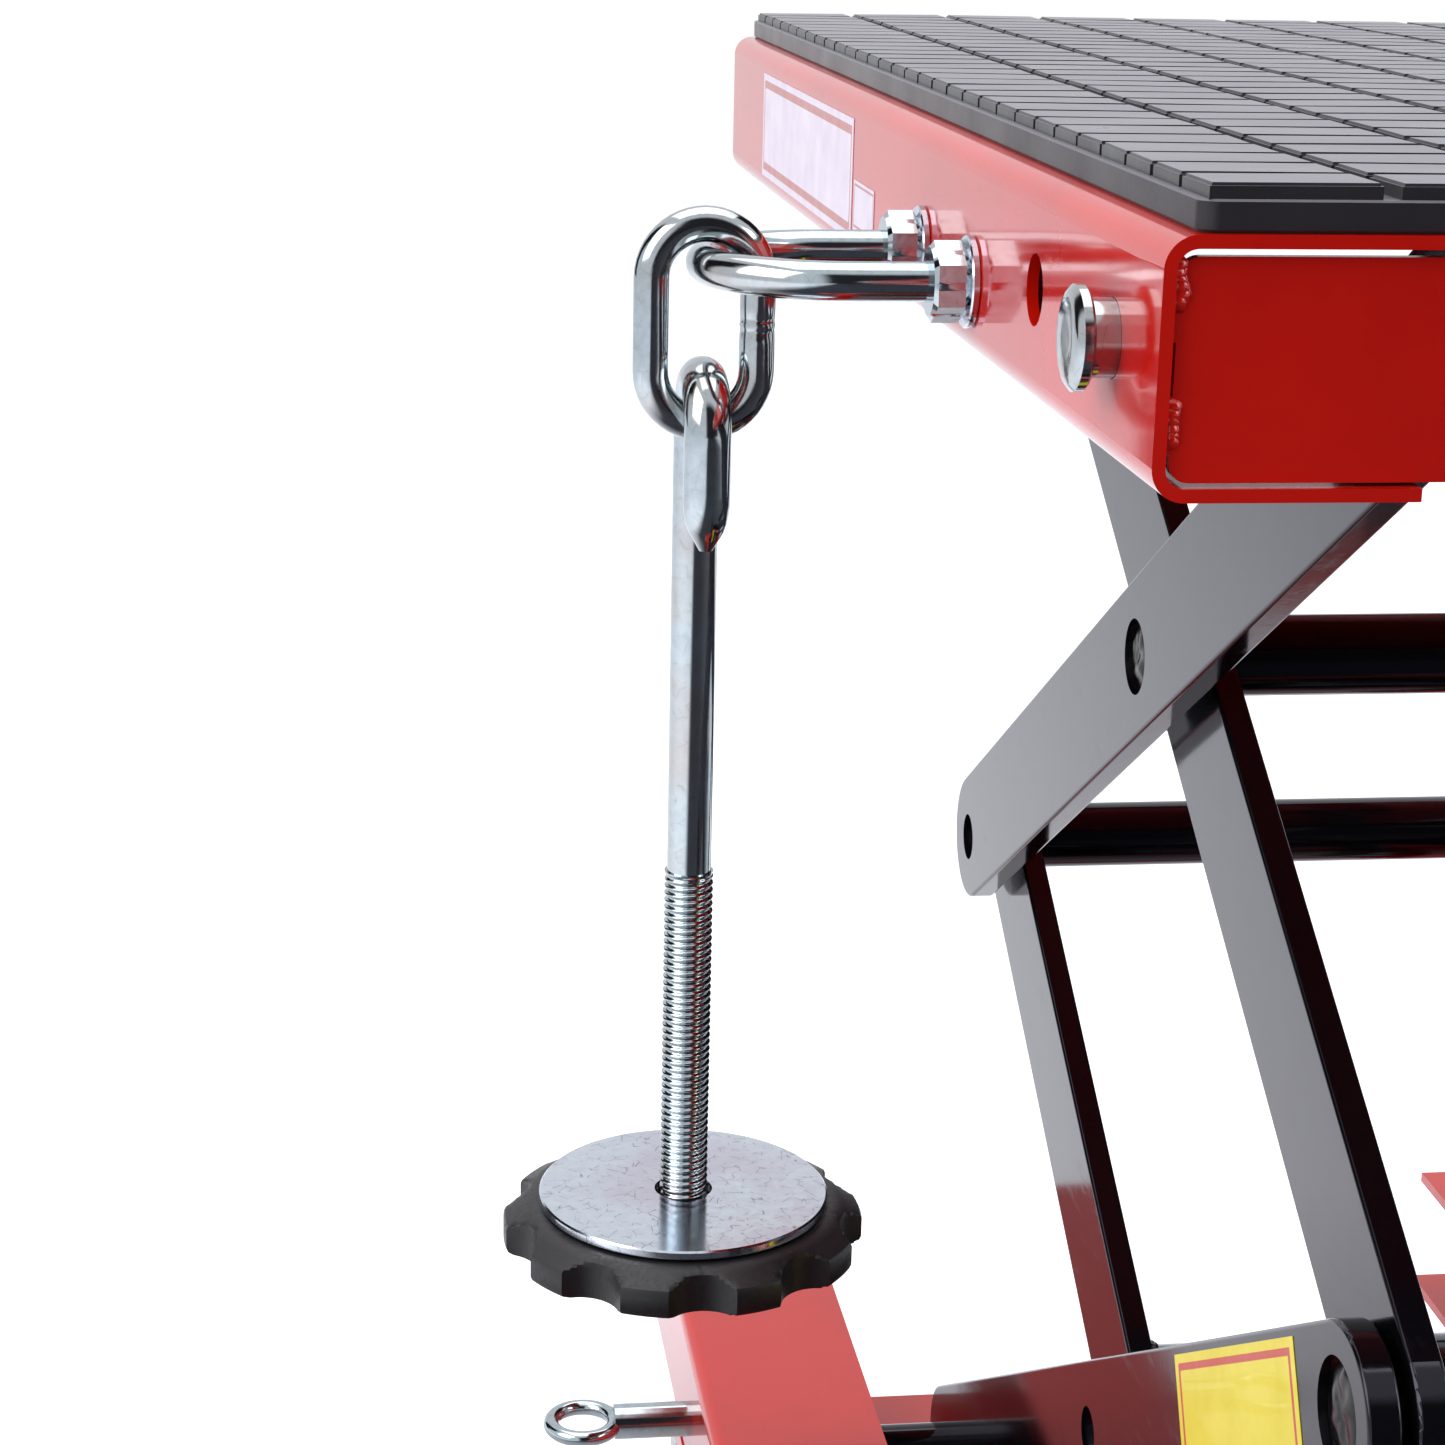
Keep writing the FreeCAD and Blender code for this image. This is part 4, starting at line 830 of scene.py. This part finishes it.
def film_label(name, corners, material, body, border):
    """A thin film with a printed frame. corners: origin, across, up and the way it faces.
    border: how far the frame's two edges are from the film's edge."""
    origin, across, up, normal = corners
    wide, tall = across.length, up.length
    columns, rows = 120, 40
    mesh_verts, bands, faces = [], [], []
    for height in (0.3 * FILM_PROUD, FILM_PROUD):
        for j in range(rows + 1):
            for i in range(columns + 1):
                u, v = i / columns, j / rows
                mesh_verts.append(origin + across * u + up * v + normal * height)
                edge = min(u * wide, (1 - u) * wide, v * tall, (1 - v) * tall)
                bands.append(1.0 if border[0] <= edge <= border[1] else 0.0)
    per = (columns + 1) * (rows + 1)
    for j in range(rows):
        for i in range(columns):
            a = j * (columns + 1) + i
            quad = [a, a + 1, a + columns + 2, a + columns + 1]
            faces.append([per + k for k in quad])
            faces.append(list(reversed(quad)))
    rim = ([(0, i) for i in range(columns)] + [(j, columns) for j in range(rows)]
           + [(rows, i) for i in range(columns, 0, -1)] + [(j, 0) for j in range(rows, 0, -1)])
    loop = [j * (columns + 1) + i for j, i in rim]
    for k, a in enumerate(loop):
        b = loop[(k + 1) % len(loop)]
        faces.append([a, b, per + b, per + a])
    piece = build(name, mesh_verts, faces, material, body)
    attribute = piece.data.attributes.new("print_band", "FLOAT", "POINT")
    attribute.data.foreach_set("value", bands)
    return piece


wall_x = DECK_LOW.x
film_label("deck_film_label",
           (Vector((wall_x, DECK_LOW.y + 410 * MM, DECK_HIGH.z - 33 * MM)),
            Vector((0, -148 * MM, 0)), Vector((0, 0, 27 * MM)), -ACROSS),
           white_film, "deck", (1.5 * MM, 3.5 * MM))
film_label("deck_small_label",
           (Vector((wall_x, DECK_LOW.y + 259 * MM, DECK_HIGH.z - 30 * MM)),
            Vector((0, -26 * MM, 0)), Vector((0, 0, 11 * MM)), -ACROSS),
           white_film, "deck", (0.6 * MM, 1.2 * MM))
arm_run = Vector((0, FAR_Y - NEAR_Y, BASE_ROLLER.z - JOINT_LEVEL)).normalized()
arm_rise = Vector((0, -arm_run.z, arm_run.y))
if arm_rise.z < 0:
    arm_rise = -arm_rise
arm_start = Vector((-OUTER_FACE, NEAR_Y, JOINT_LEVEL))
film_label("arm_film_label",
           (arm_start + arm_run * (99 * MM) - arm_rise * (15 * MM),
            -arm_run * (79 * MM), arm_rise * (29 * MM), -ACROSS),
           yellow_film, "lower_outer", (2 * MM, 3.6 * MM))


# ---------------------------------------------------------------- wheels, feet and pump

def tyred_wheel(centre, radius, width, hub):
    """A tyre with rounded shoulders, and a centre with a thinner web set into it."""
    half, inner = width / 2, 0.76 * radius
    web = 0.55 * half
    tyre = [(half - 0.14 * radius, radius), (half - 0.05 * radius, 0.96 * radius),
            (half, 0.88 * radius), (half, inner)]
    core = [(half - 0.4 * MM, hub), (half - 0.4 * MM, hub + 4 * MM), (web, hub + 5 * MM),
            (web, inner - 1.5 * MM), (half - 0.6 * MM, inner)]
    tyre = [(-x, reach) for x, reach in reversed(tyre)] + tyre
    core = [(-x, reach) for x, reach in reversed(core)] + core
    return [lathe(profile, centre, ACROSS, 80, True) for profile in (tyre, core)]


def show_wheels(name, centres, radius, width, hub, body, node):
    """Tyres and centres of the wheels that turn together."""
    tyres, cores = Shape(), Shape()
    for centre in centres:
        tyre, core = tyred_wheel(centre, radius, width, hub)
        tyres.take(*tyre)
        cores.take(*core)
    tyres.show(f"{name}_tyre", wheel_tyre, body, "wheel_nylon", (node,))
    cores.show(f"{name}_centre", wheel_centre, body, "wheel_nylon")


for word in SIDES:
    extent = size_of(f"{word}_caster_wheel")
    show_wheels(f"{word}_caster", [centre_of(f"{word}_caster_wheel")], extent.z / 2, extent.x,
                4.05 * MM, f"{word}_caster_wheel", f"{word}_caster_wheel")
WHEEL_WIDTH = 22 * MM
wheel_mid = centre_of("fixed_wheels")
wheel_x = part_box("fixed_wheels")[1].x - WHEEL_WIDTH / 2
show_wheels("fixed_wheel",
            [Vector((side * wheel_x, wheel_mid.y, wheel_mid.z)) for side in SIDES.values()],
            size_of("fixed_wheels").z / 2, WHEEL_WIDTH, 5.05 * MM, "fixed_wheels", "fixed_wheels")


def foot_pad(word):
    """A levelling foot's rubber pad, narrowing to its screw."""
    low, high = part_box(f"{word}_foot")
    base = Vector(((low.x + high.x) / 2, (low.y + high.y) / 2, low.z))
    radius, tall = (high.x - low.x) / 2, high.z - low.z
    profile = [(0, radius - 1 * MM), (0.8 * MM, radius), (0.45 * tall, radius),
               (0.55 * tall, radius - 1.5 * MM), (0.8 * tall, radius - 5 * MM),
               (tall, radius - 9 * MM)]
    Shape().take(*lathe(profile, base, UP, 72)).show(
        f"{word}_foot_pad", foot_rubber, f"{word}_foot", "foot_rubber", (f"{word}_foot",))


def foot_screw(word):
    """A levelling screw with a cross handle near its top."""
    low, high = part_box(f"{word}_foot_screw")
    stem = Vector(((low.x + high.x) / 2, (low.y + high.y) / 2, 0))
    bar_level = high.z - 6 * MM
    handle = [stem + Vector((x * (high.x - low.x) / 2, 0, bar_level))
              for x in (-1, -0.97, -0.9, 0, 0.9, 0.97, 1)]
    Shape().take(*thread(stem, low.z, high.z, 6 * MM, 1.75 * MM, 0.6 * MM)).take(
        *sweep(handle, [m * MM for m in (3.2, 3.9, 4, 4, 4, 3.9, 3.2)], 28)).show(
        f"{word}_foot_thread", rod_zinc, f"{word}_foot_screw", "zinc_plate",
        (f"{word}_foot_screw",), 50)


for word in SIDES:
    foot_pad(word)
    foot_screw(word)


def tread_ribs(pedal, count):
    """Raised grip ribs on top of a pedal's tread."""
    low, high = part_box(pedal)
    wide, deep, level = high.x - low.x, 40 * MM, high.z - 0.6 * MM
    ribs = Shape()
    for i in range(count):
        y = low.y + deep * (i + 0.7) / (count + 0.4)
        path = [Vector((low.x + wide * s, y, level)) for s in (0.08, 0.1, 0.5, 0.9, 0.92)]
        ribs.take(*sweep(path, [m * MM for m in (0.5, 1, 1, 1, 0.5)], 12))
    ribs.show(f"{pedal}_grip_ribs", foot_rubber, pedal, "foot_rubber", crease=60)


tread_ribs("pump_pedal", 7)


# ---------------------------------------------------------------- the model's own pieces

FINISHES = {
    "red_paint": red_enamel,
    "black_paint": black_enamel,
    "zinc_plate": rod_zinc,
    "bare_steel": turned_steel,
    "knob_plastic": knob_nylon,
    "pad_rubber": rubber,
    "foot_rubber": foot_rubber,
    "wheel_nylon": wheel_tyre,
}
for entry in frame["record"]["subparts"]:
    own = frame["nodes"][entry["node"]].data.materials
    own.clear()
    own.append(FINISHES[entry["material_slot"]])


# ---------------------------------------------------------------- studio and camera

def soft_light(name, place, wide, tall, power):
    """A white rectangular softbox that points at the middle of the lift."""
    lamp = bpy.data.lights.new(name, "AREA")
    lamp.shape = "RECTANGLE"
    lamp.size, lamp.size_y = wide, tall
    lamp.energy = power
    holder = bpy.data.objects.new(name, lamp)
    holder.location = place
    ahead = Vector((0, 0, 0.3)) - Vector(place)
    holder.rotation_euler = ahead.to_track_quat("-Z", "Y").to_euler()
    bpy.context.scene.collection.objects.link(holder)


def between(tree, value, low, high, soft):
    """1 where a value lies between two limits, with soft edges."""
    rise = remap(tree, value, low - soft, low, 0, 1)
    fall = remap(tree, value, high, high + soft, 1, 0)
    return add(tree, "ShaderNodeMath", {0: rise, 1: fall}, operation="MULTIPLY").outputs[0]


def studio():
    """White surroundings, dark behind the camera, with two dark upright flags."""
    world = bpy.data.worlds.new("studio")
    bpy.context.scene.world = world
    world.use_nodes = True
    tree = world.node_tree
    tree.nodes.clear()
    place = add(tree, "ShaderNodeTexCoord").outputs["Generated"]
    ways = add(tree, "ShaderNodeSeparateXYZ", {"Vector": place}).outputs
    behind = add(tree, "ShaderNodeMath", {0: remap(tree, ways["Y"], -0.75, -0.6, 1, 0),
                                          1: between(tree, ways["X"], -0.15, 0.6, 0.15)},
                 operation="MULTIPLY").outputs[0]
    walls = blend_colours(tree, behind, "#eef0f4", "#2c2c31")
    ahead = remap(tree, ways["Y"], 0.1, 0.2, 0, 1)
    flags = ((0.45, 0.86), (-0.84, -0.62))
    for low, high in flags:
        flag = add(tree, "ShaderNodeMath", {0: between(tree, ways["X"], low, high, 0.06), 1: ahead},
                   operation="MULTIPLY").outputs[0]
        walls = blend_colours(tree, flag, walls, "#1c1b1e")
    seen = add(tree, "ShaderNodeLightPath").outputs["Is Camera Ray"]
    colour = blend_colours(tree, seen, walls, "#ffffff")
    back = add(tree, "ShaderNodeBackground", {"Color": colour, "Strength": 1.0})
    add(tree, "ShaderNodeOutputWorld", {"Surface": back.outputs[0]})


def studio_floor():
    """A plain pale floor with a satin finish, darker in reflections on the camera's side."""
    material, tree, body, place = new_material("pale_floor", {
        "Roughness": 0.6, "Specular IOR Level": 0.1, "Emission Strength": 0.4})
    ways = add(tree, "ShaderNodeSeparateXYZ", {"Vector": place}).outputs
    near = add(tree, "ShaderNodeMath", {0: remap(tree, ways["Y"], -0.1, 0.5, 1, 0),
                                        1: between(tree, ways["X"], -0.4, 1.6, 0.25)},
               operation="MULTIPLY").outputs[0]
    shaded = blend_colours(tree, near, "#e4e5ea", "#34343a")
    pale = blend_colours(tree, grain(tree, place, 0.5, detail=2), "#f6f6f8", "#f9f9fa")
    seen = add(tree, "ShaderNodeLightPath").outputs["Is Camera Ray"]
    colour = blend_colours(tree, seen, shaded, pale)
    wire(tree, body, colour)
    tree.links.new(colour, body.inputs["Emission Color"])
    half = 4.0
    plane = loose("studio_floor", [(-half, -half, 0), (half, -half, 0), (half, half, 0),
                                   (-half, half, 0)], [], [(0, 1, 2, 3)])
    plane.data.materials.append(material)


studio()
studio_floor()
soft_light("left_softbox", (-1.6, -0.6, 1.4), 1.4, 1.4, 22)
soft_light("right_softbox", (1.5, -0.9, 1.2), 0.9, 1.2, 12)
soft_light("top_softbox", (0.0, 0.4, 2.0), 1.8, 1.8, 18)

# The camera stands off the deck's near left corner. These are its right, up and ahead.
RIGHT = Vector((0.992413, -0.121321, 0.019952))
HEAD = Vector((0.014651, 0.277813, 0.960524))
AHEAD = Vector((0.122075, 0.952943, -0.277482))
deck_corner = Vector((DECK_LOW.x, DECK_LOW.y, DECK_HIGH.z))
camera_place = deck_corner + Vector((-0.112, -0.4027, 0.0479))
camera = bpy.data.objects.new("camera", bpy.data.cameras.new("camera"))
camera.data.lens = 74.0
camera.data.sensor_width = 36
camera.data.clip_start = 0.01
camera.data.clip_end = 50
axes = Matrix((RIGHT, HEAD, -AHEAD)).transposed().to_4x4()
camera.matrix_world = Matrix.Translation(camera_place) @ axes
bpy.context.scene.collection.objects.link(camera)
bpy.context.scene.camera = camera
bpy.context.scene.view_settings.view_transform = "Standard"
